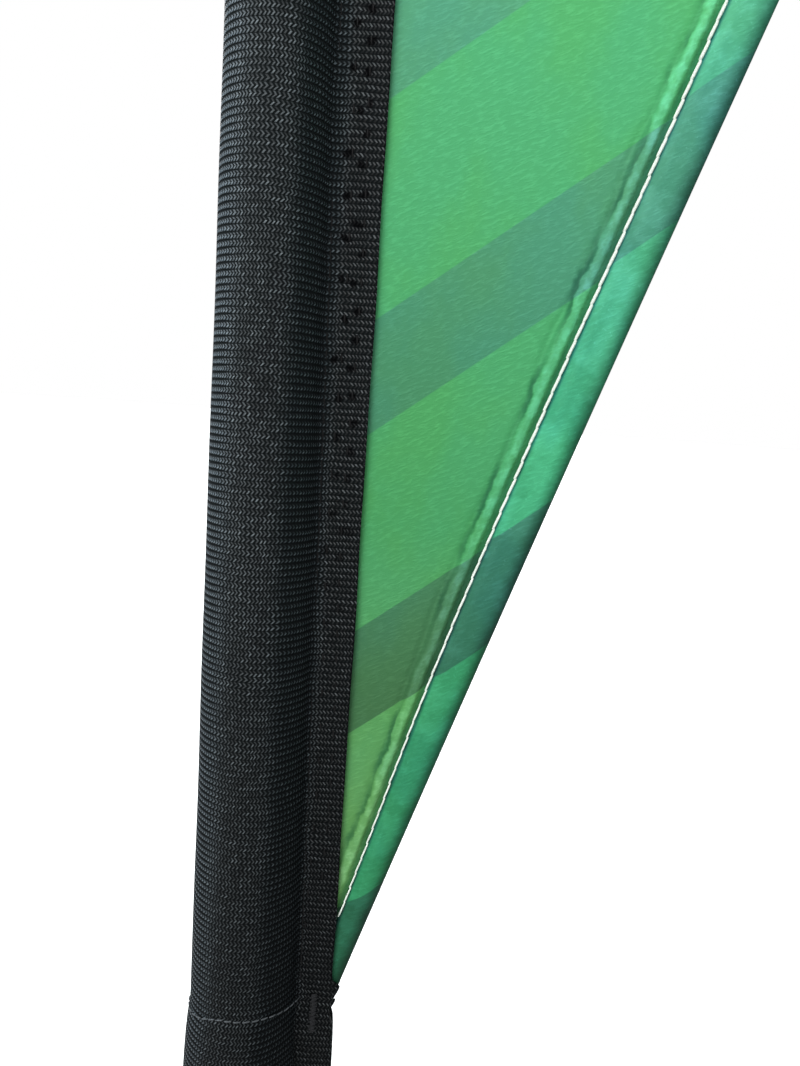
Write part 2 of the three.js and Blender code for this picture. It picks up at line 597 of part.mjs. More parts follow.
/** Webbing doubled around the hook's bar, as one solid with the bar's loop open. */
function strap() {
  const top = cuffBottom + STRAP_SEWN;
  const half = STRAP_LAYER;
  const shape = new THREE.Shape();
  const joinHeight = strapBarHeight + loopOuter * 2;
  shape.moveTo(half, top);
  shape.lineTo(-half, top);
  shape.lineTo(-half, joinHeight);
  shape.lineTo(-loopOuter, strapBarHeight);
  shape.absarc(0, strapBarHeight, loopOuter, Math.PI, 2 * Math.PI, false);
  shape.lineTo(half, joinHeight);
  shape.closePath();
  const eye = new THREE.Path();
  eye.moveTo(loopInner, strapBarHeight);
  eye.lineTo(GAP, joinHeight - half);
  eye.lineTo(-GAP, joinHeight - half);
  eye.lineTo(-loopInner, strapBarHeight);
  eye.absarc(0, strapBarHeight, loopInner, Math.PI, 2 * Math.PI, false);
  shape.holes.push(eye);
  const geometry = new THREE.ExtrudeGeometry(shape, { depth: STRAP_WIDTH, bevelEnabled: false, curveSegments: 10 });
  geometry.rotateX(Math.PI / 2);
  geometry.rotateZ(Math.PI / 2);
  return geometry.translate(slotX - STRAP_WIDTH / 2, 0, 0);
}

/** Collar clamped on the lower tube, with the lug that the hook passes through. */
function collar() {
  const inner = TUBE_RADIUS + GAP;
  const outer = inner + COLLAR_WALL;
  const lugBottom = bowHeight - HOOK_INNER_RADIUS * 0.5;
  const middle = lugBottom + LUG_THICK / 2;
  const lugEnd = limbX + LUG_HOLE_RADIUS + LUG_RIM;
  const lugHalf = LUG_HOLE_RADIUS + LUG_RIM;
  const lug = new THREE.Shape();
  lug.moveTo(inner + COLLAR_WALL / 2, -lugHalf);
  lug.lineTo(lugEnd - lugHalf, -lugHalf);
  lug.absarc(lugEnd - lugHalf, 0, lugHalf, -Math.PI / 2, Math.PI / 2, false);
  lug.lineTo(inner + COLLAR_WALL / 2, lugHalf);
  lug.closePath();
  const lugBody = new THREE.ExtrudeGeometry(lug, { depth: LUG_THICK, bevelEnabled: false, curveSegments: 12 });
  lugBody.translate(0, 0, lugBottom);
  const bottom = middle - COLLAR_HEIGHT / 2;
  const band = solid(ring(inner, outer, bottom, bottom + COLLAR_HEIGHT));
  const bore = solid(pin("z", inner, bottom - 1, bottom + COLLAR_HEIGHT + 1, ROUND));
  const lugHole = solid(pin("z", LUG_HOLE_RADIUS, lugBottom - 1, lugBottom + LUG_THICK + 1).translate(limbX, 0, 0));
  const screwHole = solid(pin("x", SCREW_RADIUS + GAP, -outer - 1, 0).translate(0, 0, middle));
  const body = band.add(solid(lugBody)).subtract(bore).subtract(lugHole).subtract(screwHole);
  const shank = solid(pin("x", SCREW_RADIUS, -outer - GAP, -inner).translate(0, 0, middle));
  const head = solid(pin("x", SCREW_HEAD_RADIUS, -outer - GAP - 3, -outer - GAP).translate(0, 0, middle));
  return { body: fromSolid(body), screw: fromSolid(shank.add(head)) };
}

function buildTether() {
  const { body, screw } = collar();
  add("pole_collar", body, paint(0x202123, 0.55, 0));
  add("collar_screw", screw, zinc());
  add("hook_body", hookBody(), zinc());
  add("hook_gate", hookGate(), zinc());
  const pinHalf = HOOK_THICK / 2;
  add("gate_pin", pin("y", PIN_RADIUS, -pinHalf, pinHalf, 16).translate(gateX, 0, pivotHeight), zinc());
  add("tension_strap", strap(), sleeveCloth());
}

buildBase();
buildSpindle();
buildPole();
buildFlag();
buildTether();

export default flag;
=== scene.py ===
"""Teardrop flag: printed cloth with a sewn pole sleeve on a bent pole, a turning spindle and a cross base.

Everything is in metres, +Z up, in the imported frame. The cloth is built along the pole's centreline. The
pole, spindle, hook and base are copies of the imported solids, with rounded edges and their own finishes.
"""

from __future__ import annotations

import json
import logging
import math
from dataclasses import dataclass, field
from enum import Enum

import bmesh
import bpy
import numpy as np
from mathutils import Matrix, Vector

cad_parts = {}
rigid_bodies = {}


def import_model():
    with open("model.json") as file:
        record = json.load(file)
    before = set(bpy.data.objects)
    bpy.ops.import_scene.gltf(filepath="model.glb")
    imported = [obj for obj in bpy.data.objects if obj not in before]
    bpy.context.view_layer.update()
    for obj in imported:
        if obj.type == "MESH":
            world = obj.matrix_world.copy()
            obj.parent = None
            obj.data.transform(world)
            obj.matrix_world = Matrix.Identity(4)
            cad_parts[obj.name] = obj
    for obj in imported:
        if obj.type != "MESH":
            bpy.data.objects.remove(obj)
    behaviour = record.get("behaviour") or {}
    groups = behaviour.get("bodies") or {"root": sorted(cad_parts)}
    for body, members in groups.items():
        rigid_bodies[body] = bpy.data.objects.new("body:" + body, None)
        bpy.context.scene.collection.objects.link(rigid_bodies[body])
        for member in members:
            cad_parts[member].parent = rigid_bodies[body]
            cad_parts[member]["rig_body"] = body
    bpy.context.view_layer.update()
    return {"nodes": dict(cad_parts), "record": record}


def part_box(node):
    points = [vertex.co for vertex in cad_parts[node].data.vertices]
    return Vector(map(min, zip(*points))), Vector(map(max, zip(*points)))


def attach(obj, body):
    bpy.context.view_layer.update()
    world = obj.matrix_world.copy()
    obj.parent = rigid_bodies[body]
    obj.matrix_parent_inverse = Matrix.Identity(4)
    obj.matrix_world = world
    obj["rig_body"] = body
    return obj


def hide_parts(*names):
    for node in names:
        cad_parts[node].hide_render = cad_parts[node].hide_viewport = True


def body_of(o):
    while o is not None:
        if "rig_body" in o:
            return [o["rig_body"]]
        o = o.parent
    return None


LOG = logging.getLogger("teardrop_flag")
MM = 0.001
CLOTH_MAP = "cloth"
BEND_ABOVE_BUSH = 30 * MM
CORNER_BELOW_END = 44.6 * MM
CORNER_INSIDE = 23.6 * MM
Rows = np.ndarray
Socket = bpy.types.NodeSocket
Material = bpy.types.Material
Piece = bpy.types.Object


class Hold(Enum):
    """Ways a sheet of cloth is held."""

    STRETCHED = "stretched"


class Body(Enum):
    """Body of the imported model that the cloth, its threads and the strap ride on."""

    MAST = "mast"


def linear(red: int, green: int, blue: int) -> tuple[float, float, float, float]:
    """Turn a colour of 0 to 255 steps into linear light.

    Args:
        red: Red step.
        green: Green step.
        blue: Blue step.

    Returns:
        Linear red, green and blue with full opacity.
    """
    steps = np.array([red, green, blue]) / 255.0
    light = np.where(steps <= 0.04045, steps / 12.92, ((steps + 0.055) / 1.055) ** 2.4)
    return (*(float(x) for x in light), 1.0)


def smooth(x: Rows, low: float, high: float) -> Rows:
    """Ease from 0 at low to 1 at high with flat ends, as 3t squared minus 2t cubed."""
    t = np.clip((x - low) / (high - low), 0.0, 1.0)
    return t * t * (3.0 - 2.0 * t)


def unit(vectors: Rows) -> Rows:
    """Scale vectors on the last axis to length 1."""
    return vectors / (np.linalg.norm(vectors, axis=-1, keepdims=True) + 1e-12)


class Graph:
    """Adds shader nodes to one material and links them."""

    def __init__(self, name: str) -> None:
        """Start a material with one Principled shader.

        Args:
            name: Name of the material.
        """
        self.material = bpy.data.materials.new(name)
        self.material.use_nodes = True
        self.tree = self.material.node_tree
        self.shader = self.tree.nodes["Principled BSDF"]

    def node(self, kind: str, **settings: object) -> bpy.types.Node:
        """Add a node of a kind and set its properties."""
        made = self.tree.nodes.new(kind)
        for key, value in settings.items():
            setattr(made, key, value)
        return made

    def feed(self, target: Socket, value: object) -> None:
        """Link a socket, or set a plain value, on an input."""
        if isinstance(value, Socket):
            self.tree.links.new(value, target)
        else:
            target.default_value = value

    def math(self, operation: str, *values: object) -> Socket:
        """Add a Math node.

        Args:
            operation: Blender's name for the operation.
            *values: Sockets or numbers for its inputs.

        Returns:
            The result's socket.
        """
        made = self.node("ShaderNodeMath", operation=operation)
        for socket, value in zip(made.inputs, values):
            self.feed(socket, value)
        return made.outputs[0]

    def times(self, first: object, second: object) -> Socket:
        """Multiply two values."""
        return self.math("MULTIPLY", first, second)

    def scaled(self, value: object, factor: object, more: object) -> Socket:
        """Multiply a value by a factor and add more to it."""
        return self.math("MULTIPLY_ADD", value, factor, more)

    def less(self, first: object, second: object) -> Socket:
        """Subtract the second value from the first."""
        return self.math("SUBTRACT", first, second)

    def over(self, first: object, second: object) -> Socket:
        """Divide the first value by the second."""
        return self.math("DIVIDE", first, second)

    def power(self, base: object, exponent: object) -> Socket:
        """Raise a value to a power."""
        return self.math("POWER", base, exponent)

    def most(self, first: object, second: object) -> Socket:
        """Take the larger of two values."""
        return self.math("MAXIMUM", first, second)

    def hump(self, value: object) -> Socket:
        """Round hump over each whole step of a value: the sine of pi times its fraction."""
        return self.math("SINE", self.times(self.math("FRACT", value), math.pi))

    def mix(self, factor: object, first: object, second: object, blend: str = "MIX") -> Socket:
        """Mix two colours by a factor and return the colour's socket."""
        made = self.node("ShaderNodeMix", data_type="RGBA", blend_type=blend)
        for number, value in ((0, factor), (6, first), (7, second)):
            self.feed(made.inputs[number], value)
        return made.outputs[2]

    def tint(self, factor: object, base: Socket, *tint: float) -> Socket:
        """Multiply a colour by a tint of three numbers, as far as a factor says."""
        return self.mix(factor, base, self.mix(1.0, base, (*tint, 1.0), "MULTIPLY"))

    def ramp(self, factor: object, stops: list[tuple[float, tuple]]) -> Socket:
        """Add a colour ramp through stops of (place, colour) and return its colour."""
        made = self.node("ShaderNodeValToRGB")
        elements = made.color_ramp.elements
        while len(elements) < len(stops):
            elements.new(1.0)
        for element, (place, colour) in zip(elements, stops):
            element.position = place
            element.color = colour
        self.feed(made.inputs[0], factor)
        return made.outputs[0]

    def spread(self, value: Socket, *limits: object) -> Socket:
        """Map a range onto another, 0 to 1 if none is given, with a smooth step."""
        made = self.node("ShaderNodeMapRange", interpolation_type="SMOOTHSTEP")
        for socket, number in zip(made.inputs, (value, *limits)):
            self.feed(socket, number)
        return made.outputs[0]

    def falling(self, value: object, low: object, high: object, top: float = 1.0) -> Socket:
        """Fall smoothly from a top value to 0 over a range."""
        return self.spread(value, low, high, top, 0.0)

    def window(self, value: object, rise: tuple, fall: tuple) -> Socket:
        """Rise from 0 to 1 over one range, and fall back over another."""
        return self.times(self.spread(value, *rise), self.falling(value, *fall))

    def place(self) -> Socket:
        """Object coordinates, which are the row frame's, in metres."""
        return self.node("ShaderNodeTexCoord").outputs["Object"]

    def axes(self, vector: object) -> tuple:
        """Split a vector into its three numbers."""
        made = self.node("ShaderNodeSeparateXYZ")
        self.feed(made.inputs[0], vector)
        return tuple(made.outputs)

    def cloth_axes(self) -> tuple:
        """Distances across and along a strip of cloth, in metres, from its own map."""
        return self.axes(self.node("ShaderNodeUVMap", uv_map=CLOTH_MAP).outputs[0])[:2]

    def noise(self, vector: object, scale: float, detail: float = 3.0, rough: float = 0.5) -> Socket:
        """Add a noise texture and return its value."""
        made = self.node("ShaderNodeTexNoise")
        for name, value in (("Vector", vector), ("Scale", scale), ("Detail", detail), ("Roughness", rough)):
            self.feed(made.inputs[name], value)
        return made.outputs[0]

    def stretched(self, vector: object, x: float, y: float, z: float) -> Socket:
        """Scale a vector along its axes."""
        made = self.node("ShaderNodeMapping")
        self.feed(made.inputs["Vector"], vector)
        made.inputs["Scale"].default_value = (x, y, z)
        return made.outputs[0]

    def bump(self, height: object, distance: float, strength: float = 1.0) -> None:
        """Bump the surface by a height."""
        made = self.node("ShaderNodeBump")
        for name, value in (("Height", height), ("Distance", distance), ("Strength", strength)):
            self.feed(made.inputs[name], value)
        self.feed(self.shader.inputs["Normal"], made.outputs[0])

    def finish(self, **inputs: object) -> Material:
        """Feed the shader's inputs, named with _ for a space, and return the material."""
        for name, value in inputs.items():
            self.feed(self.shader.inputs[name.replace("_", " ")], value)
        return self.material


@dataclass(frozen=True)
class WovenBlack:
    """Coarse black polyester: horizontal ribs of strokes that lean one way and then the other."""

    name: str = "woven_black"
    rib: float = 1.45 * MM
    pitch: float = 0.87 * MM
    lean: float = 0.68
    gap: tuple = linear(3, 4, 5)
    upper_gap: tuple = linear(19, 23, 24)
    thread: tuple = linear(62, 65, 66)
    # Painted glint colour of the brightest strokes.
    glint: tuple = linear(118, 126, 129)
    # Painted sheen: pale cool tone of the lead, the strip on the pole's far side.
    lead_sheen: tuple = linear(106, 119, 127)
    # Painted shade on the flank beside the seam.
    shadow_tone: tuple = linear(42, 60, 66)
    band_tone: tuple = linear(56, 56, 55)
    depth: float = 0.42 * MM
    tip_height: float = 0.45
    lead_fall: tuple = (7 * MM, 15 * MM)
    flank_rise: tuple = (21 * MM, 27 * MM)
    flank_fall: tuple = (35 * MM, 38 * MM)
    band_rise: tuple = (36 * MM, 38.5 * MM)
    height_ramp_rise: tuple = (-60 * MM, 230 * MM)
    stitched_rise: tuple = (60 * MM, 150 * MM)
    stitch_rows: tuple = (41.2 * MM, 38.2 * MM)
    row_pitch: tuple = (5.9 * MM, 8.3 * MM)
    hole: tuple = (0.5 * MM, 1.25 * MM)

    def material(self) -> Material:
        """Build the weave on the cloth's own map.

        Returns:
            The material. Height is a round rib, cut by slanted strokes whose lean turns at the rib's crest;
            the cloth is lighter and greyer toward the top. By distance from the sleeve's far side, its lead
            has a pale painted sheen, its flank painted shade, and its band shows strokes that lean one way
            only, as painted shade darkens the others.
        """
        g = Graph(self.name)
        across, along = g.cloth_axes()
        side = g.math("ABSOLUTE", across)
        wander = g.noise(g.place(), 85.0)
        across = g.scaled(wander, 3.2 * MM, across)
        along = g.scaled(wander, 0.5 * MM, along)
        ribs = g.over(along, self.rib)
        rib = g.power(g.hump(ribs), 0.55)
        zigzag = g.times(g.math("PINGPONG", ribs, 0.5), 2.0)
        shifted = g.scaled(zigzag, self.lean, g.over(across, self.pitch))
        stroke = g.hump(shifted)
        lead = g.falling(side, *self.lead_fall)
        flank = g.window(side, self.flank_rise, self.flank_fall)
        band = g.spread(side, *self.band_rise)
        height = g.times(rib, g.scaled(g.power(stroke, 0.7), 0.45, 0.55))
        low, high = (self.tip_height + step for step in self.height_ramp_rise)
        # Ramp with height, from 0.14 low to 1 high: strokes brighter and thicker, gaps lighter toward the
        # top.
        height_ramp = g.spread(g.axes(g.place())[2], low, high, 0.14, 1.0)
        tone = self.thread_tone(g, shifted, ribs)
        # Painted light by zone: pale sheen on the lead, painted shade on the flank, and the band's grey
        # tone.
        for zone, share, colour in ((lead, 0.75, self.lead_sheen), (flank, 0.55, self.shadow_tone),
                                    (band, 0.65, self.band_tone)):
            tone = g.mix(g.times(zone, share), tone, colour)
        # Painted shade: the strokes of one flank of each rib take most of the gap colour.
        tone = g.mix(g.times(self.painted_stroke_shade(g, ribs, band), 0.75), tone, self.gap)
        # Painted shade in the rib valleys: wider dark gaps on the lead and the flank.
        rows = g.most(lead, g.times(flank, 0.9))
        gaps = g.spread(rib, g.spread(rows, 0.0, 1.0, 0.0, 0.50), g.spread(rows, 0.0, 1.0, 0.55, 0.97))
        cut = g.spread(stroke, g.spread(lead, 0.0, 1.0, 0.50, 0.15), g.spread(lead, 0.0, 1.0, 1.0, 0.85))
        peak = g.times(gaps, cut)
        thin = g.power(peak, g.scaled(height_ramp, -2.6, 4.4))
        shown = g.times(thin, g.scaled(height_ramp, 0.66, 0.36))
        grit = g.spread(g.noise(g.place(), 1500.0, 3.0, 0.7), 0.38, 0.62, 0.25, 1.5)
        shown = g.times(shown, g.scaled(g.less(grit, 1.0), g.scaled(band, 0.55, 0.35), 1.0))
        base = g.mix(shown, g.mix(height_ramp, self.gap, self.upper_gap), tone)
        base = g.mix(self.unpierced(g, side, along, wander), self.gap, base)
        g.bump(height, self.depth)
        rough = g.spread(peak, 0.0, 1.0, 1.0, 0.38)
        return g.finish(Base_Color=base, Roughness=rough, Specular_IOR_Level=0.06)

    def thread_tone(self, g: Graph, shifted: Socket, ribs: Socket) -> Socket:
        """Thread's colour: each stroke has its own chance of a painted glint, and patches of noise have
        more.
        """
        cell = g.node("ShaderNodeCombineXYZ")
        g.feed(cell.inputs[0], g.math("FLOOR", shifted))
        g.feed(cell.inputs[1], g.math("FLOOR", g.times(ribs, 2.0)))
        chance = g.node("ShaderNodeTexWhiteNoise", noise_dimensions="2D")
        g.feed(chance.inputs["Vector"], cell.outputs[0])
        patch = g.noise(g.stretched(g.place(), 1.0, 1.0, 0.3), 55.0, 4.0)
        # Share of painted glint: a random chance for each stroke, raised in patches of noise.
        worn = g.scaled(g.power(chance.outputs[0], 2.5), 1.0, g.spread(patch, 0.3, 0.7, 0.0, 0.35))
        return g.mix(worn, self.thread, self.glint)

    def painted_stroke_shade(self, g: Graph, ribs: Socket, band: Socket) -> Socket:
        """Painted shade on one rib flank: strokes leaning back on the round part, the others on the band."""
        second = g.math("GREATER_THAN", g.math("FRACT", ribs), 0.5)
        on_band = g.times(g.less(1.0, second), band)
        return g.most(on_band, g.times(second, g.less(0.75, band)))

    def unpierced(self, g: Graph, side: Socket, along: Socket, wander: Socket) -> Socket:
        """Share of cloth that no needle hole darkens: the band has two rows of them, fading near the tip."""
        left = 1.0
        for row, pitch in zip(self.stitch_rows, self.row_pitch):
            off = g.scaled(g.less(wander, 0.5), 9 * MM, g.less(side, row))
            turns = g.math("FRACT", g.math("ADD", g.over(along, pitch), 0.5))
            down = g.times(g.less(turns, 0.5), pitch)
            squares = [g.power(g.math("ABSOLUTE", step), 2.0) for step in (off, down)]
            left = g.times(g.spread(g.math("SQRT", g.math("ADD", *squares)), *self.hole), left)
        height = g.less(g.axes(g.place())[2], self.tip_height)
        return g.most(left, g.falling(height, *self.stitched_rise))


@dataclass(frozen=True)
class Webbing:
    """Flat black webbing: fine ribs across with a chevron down the middle."""

    name: str = "black_webbing"
    rib: float = 1.1 * MM
    strand: float = 0.9 * MM
    gap: tuple = linear(7, 8, 9)
    thread: tuple = linear(38, 39, 41)
    fuzz: tuple = linear(58, 60, 62)

    def material(self) -> Material:
        """Build the webbing on its own map.

        Returns:
            The material.
        """
        g = Graph(self.name)
        across, along = g.cloth_axes()
        rib = g.hump(g.over(g.math("ADD", g.math("ABSOLUTE", across), along), self.rib))
        strand = g.hump(g.over(across, self.strand))
        height = g.times(g.power(rib, 0.6), g.power(strand, 0.5))
        thread = g.mix(g.noise(g.place(), 2500.0), self.thread, self.fuzz)
        g.bump(height, 0.3 * MM)
        return g.finish(Base_Color=g.mix(g.spread(height, 0.2, 0.9), self.gap, thread),
                        Roughness=0.6, Sheen_Weight=0.1, Specular_IOR_Level=0.25)


@dataclass(frozen=True)
class PrintedCloth:
    """Green knitted polyester with slanted darker stripes and a slow change of tone up the flag."""

    name: str
    tip_height: float
    light: tuple = ((0.0, (76, 127, 72)), (0.15, (80, 134, 76)), (0.5, (60, 138, 84)), (1.0, (73, 163, 106)))
    dark: tuple = ((0.0, (42, 84, 58)), (0.3, (52, 97, 62)), (0.65, (59, 126, 94)), (1.0, (74, 148, 114)))
    tone_height: float = 225 * MM
    top_level: float = 1.4
    pole_side: float = 23 * MM
    period: float = 68.6 * MM
    dark_share: float = 0.357
    stripe_start: float = 63.0 * MM
    rise: float = 0.765
    edge: float = 0.35 * MM
    lost_at_seam: float = 0.0
    fold_width: float = 0.0
    yellowed: tuple = (1.06, 1.0, 0.84)
    streaked: tuple = (1.45, 1.3, 1.4)
    # Paler double layer of the ridge beside the thread, with a painted highlight.
    layered_ridge_highlight: tuple = (1.68, 1.43, 1.88)
    # Painted shade in the crease and in a line at the thread.
    crease_shade: tuple = (0.26, 0.43, 0.44)
    # Painted highlight on the hem's puckers.
    pucker_highlight: tuple = (1.75, 1.42, 1.6)
    # Painted highlight in small specks on the hem.
    speck_highlight: tuple = (2.0, 1.5, 1.8)
    # Painted shade in the groove at the thread.
    groove_shade: tuple = (0.16, 0.36, 0.52)
    # Painted shade where the hem turns over its edge.
    folded: tuple = (0.13, 0.25, 0.23)

    def material(self) -> Material:
        """Build the print on Object coordinates.

        Returns:
            The material. A point's phase is its height less the stripes' rise times its distance from the
            pole, which counts the strip of print that the hem's seam takes in.
        """
        g = Graph(self.name)
        spot = g.place()
        x, _, z = g.axes(spot)
        height = g.less(z, self.tip_height)
        level = g.over(height, self.tone_height)
        top = g.math("MINIMUM", level, self.top_level)
        out = g.math("ADD", g.less(x, self.pole_side), g.times(top, self.lost_at_seam))
        phase = g.scaled(out, -self.rise, height)
        share = g.math("FRACT", g.over(g.less(phase, self.stripe_start), self.period))
        soft = self.edge / self.period
        stripe = g.window(share, (0.0, soft), (self.dark_share, self.dark_share + soft))
        light, dark = (g.ramp(level, [(place, linear(*colour)) for place, colour in stops])
                       for stops in (self.light, self.dark))
        base = g.mix(stripe, light, dark)
        blotch = g.noise(g.stretched(spot, 1.0, 1.0, 0.6), 45.0, 4.0)
        base = g.tint(g.spread(blotch, 0.40, 0.62), base, *self.yellowed)
        streaks = self.streaks(g, x, height)
        base = g.tint(g.times(streaks, 0.55), base, *self.streaked)
        slow = g.less(g.noise(spot, 120.0, 4.0, 0.6), 0.5)
        if self.fold_width:
            base = self.fold_tones(g, base, spot, slow, top)
        else:
            base = self.seam_tones(g, base, spot, slow)
        g.bump(streaks, 0.10 * MM, 0.6)
        return g.finish(Base_Color=base, Roughness=0.68, Specular_IOR_Level=0.2)

    def fold_tones(self, g: Graph, base: Socket, spot: Socket, slow: Socket, level: Socket) -> Socket:
        """Tones of the hem: painted highlights on puffs and specks, painted shade in the groove at the
        thread and at the fold's edge.
        """
        from_edge, from_thread = g.cloth_axes()
        # Painted highlight on puckers: pale patches from slow noise.
        puffs = g.spread(g.noise(g.stretched(spot, 0.8, 1.0, 1.0), 110.0, 4.0, 0.6), 0.43, 0.60)
        base = g.tint(g.times(puffs, 0.52), base, *self.pucker_highlight)
        # Painted highlight: small bright specks.
        specks = g.spread(g.noise(spot, 900.0, 3.0, 0.7), 0.62, 0.74)
        base = g.tint(g.times(specks, 0.5), base, *self.speck_highlight)
        # Painted shade in the groove beside the thread.
        base = g.tint(g.falling(from_thread, 0.5 * MM, 1.15 * MM, 0.95), base, *self.groove_shade)
        # Painted shade at the fold's edge, wider higher up.
        edge = g.scaled(slow, 2.2 * MM, from_edge)
        shade = g.falling(edge, 0.0, g.scaled(level, 1.7 * MM, self.fold_width))
        return g.tint(g.power(shade, 1.5), base, *self.folded)

    def seam_tones(self, g: Graph, base: Socket, spot: Socket, slow: Socket) -> Socket:
        """Tones of the panel beside the hem's thread: painted shade in a line at the thread, a painted
        highlight on the ridge's paler double layer and painted shadow in the crease.
        """
        from_thread = g.cloth_axes()[0]
        strength = g.spread(g.noise(spot, 70.0, 2.0), 0.38, 0.62, 0.25, 1.0)
        seam = g.scaled(slow, 4.2 * MM, from_thread)
        mottle = g.spread(g.noise(spot, 420.0, 4.0), 0.36, 0.64, 0.25, 1.0)
        # Ridge beside the thread: its paler double layer and a painted highlight, mottled.
        ridge = g.times(g.window(seam, (1.5 * MM, 2.2 * MM), (3.1 * MM, 4.2 * MM)), mottle)
        base = g.tint(ridge, base, *self.layered_ridge_highlight)
        # Painted shadow in the crease past the ridge, and painted shade in a line at the thread.
        crease = g.times(g.window(seam, (3.7 * MM, 4.3 * MM), (4.4 * MM, 5.9 * MM)), strength)
        near = g.falling(g.scaled(slow, 1.2 * MM, from_thread), 0.7 * MM, 2.0 * MM, 0.95)
        return g.tint(g.most(g.times(crease, 0.95), near), base, *self.crease_shade)

    def streaks(self, g: Graph, x: Socket, height: Socket) -> Socket:
        """Short slanting streaks of the knit: noise drawn out along the stripe's direction."""
        along = g.scaled(height, 0.45, g.times(x, 0.9))
        spot = g.node("ShaderNodeCombineXYZ")
        g.feed(spot.inputs[0], g.times(along, 0.28))
        g.feed(spot.inputs[1], g.scaled(height, 0.9, g.times(x, -0.45)))
        return g.spread(g.noise(spot.outputs[0], 1500.0, 2.0, 0.6), 0.42, 0.72)


def printed_hem(tip_height: float) -> PrintedCloth:
    """Print of the hem: bluer and deeper than the panel, with painted shade where it turns over the edge."""
    return PrintedCloth(
        "printed_hem", tip_height, lost_at_seam=3.2 * MM, fold_width=3.9 * MM,
        light=((0.0, (30, 108, 72)), (0.25, (38, 122, 84)), (0.6, (52, 146, 108)), (1.0, (72, 160, 127))),
        dark=((0.0, (20, 78, 56)), (0.35, (36, 94, 76)), (0.7, (52, 122, 104)), (1.0, (70, 144, 124))),
    )


@dataclass(frozen=True)
class Spun:
    """Twisted sewing thread of one colour."""

    name: str
    colour: tuple
    shade: tuple

    def material(self) -> Material:
        """Build the thread with fine fibres.

        Returns:
            The material.
        """
        g = Graph(self.name)
        fibre = g.noise(g.place(), 4200.0)
        g.bump(fibre, 0.08 * MM, 0.6)
        colour = g.mix(g.spread(fibre, 0.3, 0.7), self.colour, self.shade)
        return g.finish(Base_Color=colour, Roughness=0.7, Specular_IOR_Level=0.2)


@dataclass(frozen=True)
class Coated:
    """A hard finish with fine grain, and how far the edges of the solids that wear it are rounded."""

    name: str
    colour: tuple
    worn: tuple
    roughness: float
    metallic: float
    grain: float
    depth: float
    stretch: float
    rounding: float

    def material(self) -> Material:
        """Build the finish on Object coordinates.

        Returns:
            The material.
        """
        g = Graph(self.name)
        spot = g.stretched(g.place(), 1.0, 1.0, self.stretch)
        cloud = g.noise(spot, 38.0, 5.0)
        fine = g.noise(spot, self.grain)
        colour = g.mix(g.spread(cloud, 0.35, 0.75, 0.0, 0.7), linear(*self.colour), linear(*self.worn))
        rough = g.spread(fine, 0.2, 0.8, self.roughness * 0.8, min(1.0, self.roughness * 1.25))
        g.bump(fine, self.depth * MM, 0.7)
        return g.finish(Base_Color=colour, Roughness=rough, Metallic=self.metallic)


# Slot, colour, worn colour, roughness, metallic, grain, depth in mm, stretch along Z, rounding in mm.
HARD_FINISHES = (
    Coated("bar_paint", (40, 42, 44), (56, 58, 60), 0.58, 0.0, 1500.0, 0.03, 1.0, 0.9),
    Coated("black_rubber", (24, 24, 25), (40, 40, 39), 0.78, 0.0, 700.0, 0.03, 1.0, 1.0),
    Coated("zinc_steel", (150, 153, 156), (118, 122, 123), 0.33, 1.0, 600.0, 0.03, 1.0, 0.45),
    Coated("white_nylon", (226, 223, 214), (206, 202, 190), 0.45, 0.0, 900.0, 0.03, 1.0, 0.3),
    Coated("black_tube", (20, 21, 22), (32, 33, 34), 0.30, 0.0, 900.0, 0.02, 0.04, 0.3),
    Coated("plain_aluminium", (172, 175, 178), (150, 152, 155), 0.3, 1.0, 700.0, 0.02, 0.05, 0.3),
    Coated("collar_plastic", (30, 31, 33), (44, 45, 46), 0.5, 0.0, 900.0, 0.03, 1.0, 0.8),
)


def joined(*parts: Rows | float) -> Rows:
    """Join coordinates of any matching shapes into points, with x, y and z on the last axis."""
    return np.stack(np.broadcast_arrays(*parts), axis=-1)


def facing(side: float, count: int) -> Rows:
    """Directions out of the cloth: -1 is its front side and 1 its back."""
    return np.tile([0.0, side, 0.0], (count, 1))


def around(count: int) -> Rows:
    """Angles evenly spaced round a circle."""
    return np.linspace(0.0, 2 * math.pi, count, endpoint=False)


def relax(line: Rows, rounds: int) -> None:
    """Smooth a line in place: each inner value becomes the mean of itself, twice, and its two neighbours."""
    for _ in range(rounds):
        line[..., 1:-1] = (line[..., :-2] + 2 * line[..., 1:-1] + line[..., 2:]) / 4


def running(steps: Rows) -> Rows:
    """Add steps up from 0 along a line."""
    return np.concatenate([[0.0], np.cumsum(steps)])


def add_object(name: str, data: bpy.types.ID) -> Piece:
    """Add an object with the given data to the scene."""
    made = bpy.data.objects.new(name, data)
    bpy.context.scene.collection.objects.link(made)
    return made


def shade_smooth(mesh: bpy.types.Mesh) -> None:
    """Mark every face of a mesh as smooth."""
    mesh.polygons.foreach_set("use_smooth", np.ones(len(mesh.polygons), dtype=bool))


def grid_faces(rows: int, columns: int, wrap: bool) -> Rows:
    """Quads between neighbouring points of a grid.

    Args:
        rows: Points along the first parameter.
        columns: Points along the second parameter.
        wrap: Whether the last column joins the first.

    Returns:
        Faces as four point numbers each.
    """
    row = np.arange(rows - 1)[:, None] * columns
    column = np.arange(columns if wrap else columns - 1)[None, :]
    after = (column + 1) % columns
    corners = np.stack([row + column, row + after, row + columns + after, row + columns + column], axis=-1)
    return corners.reshape(-1, 4)


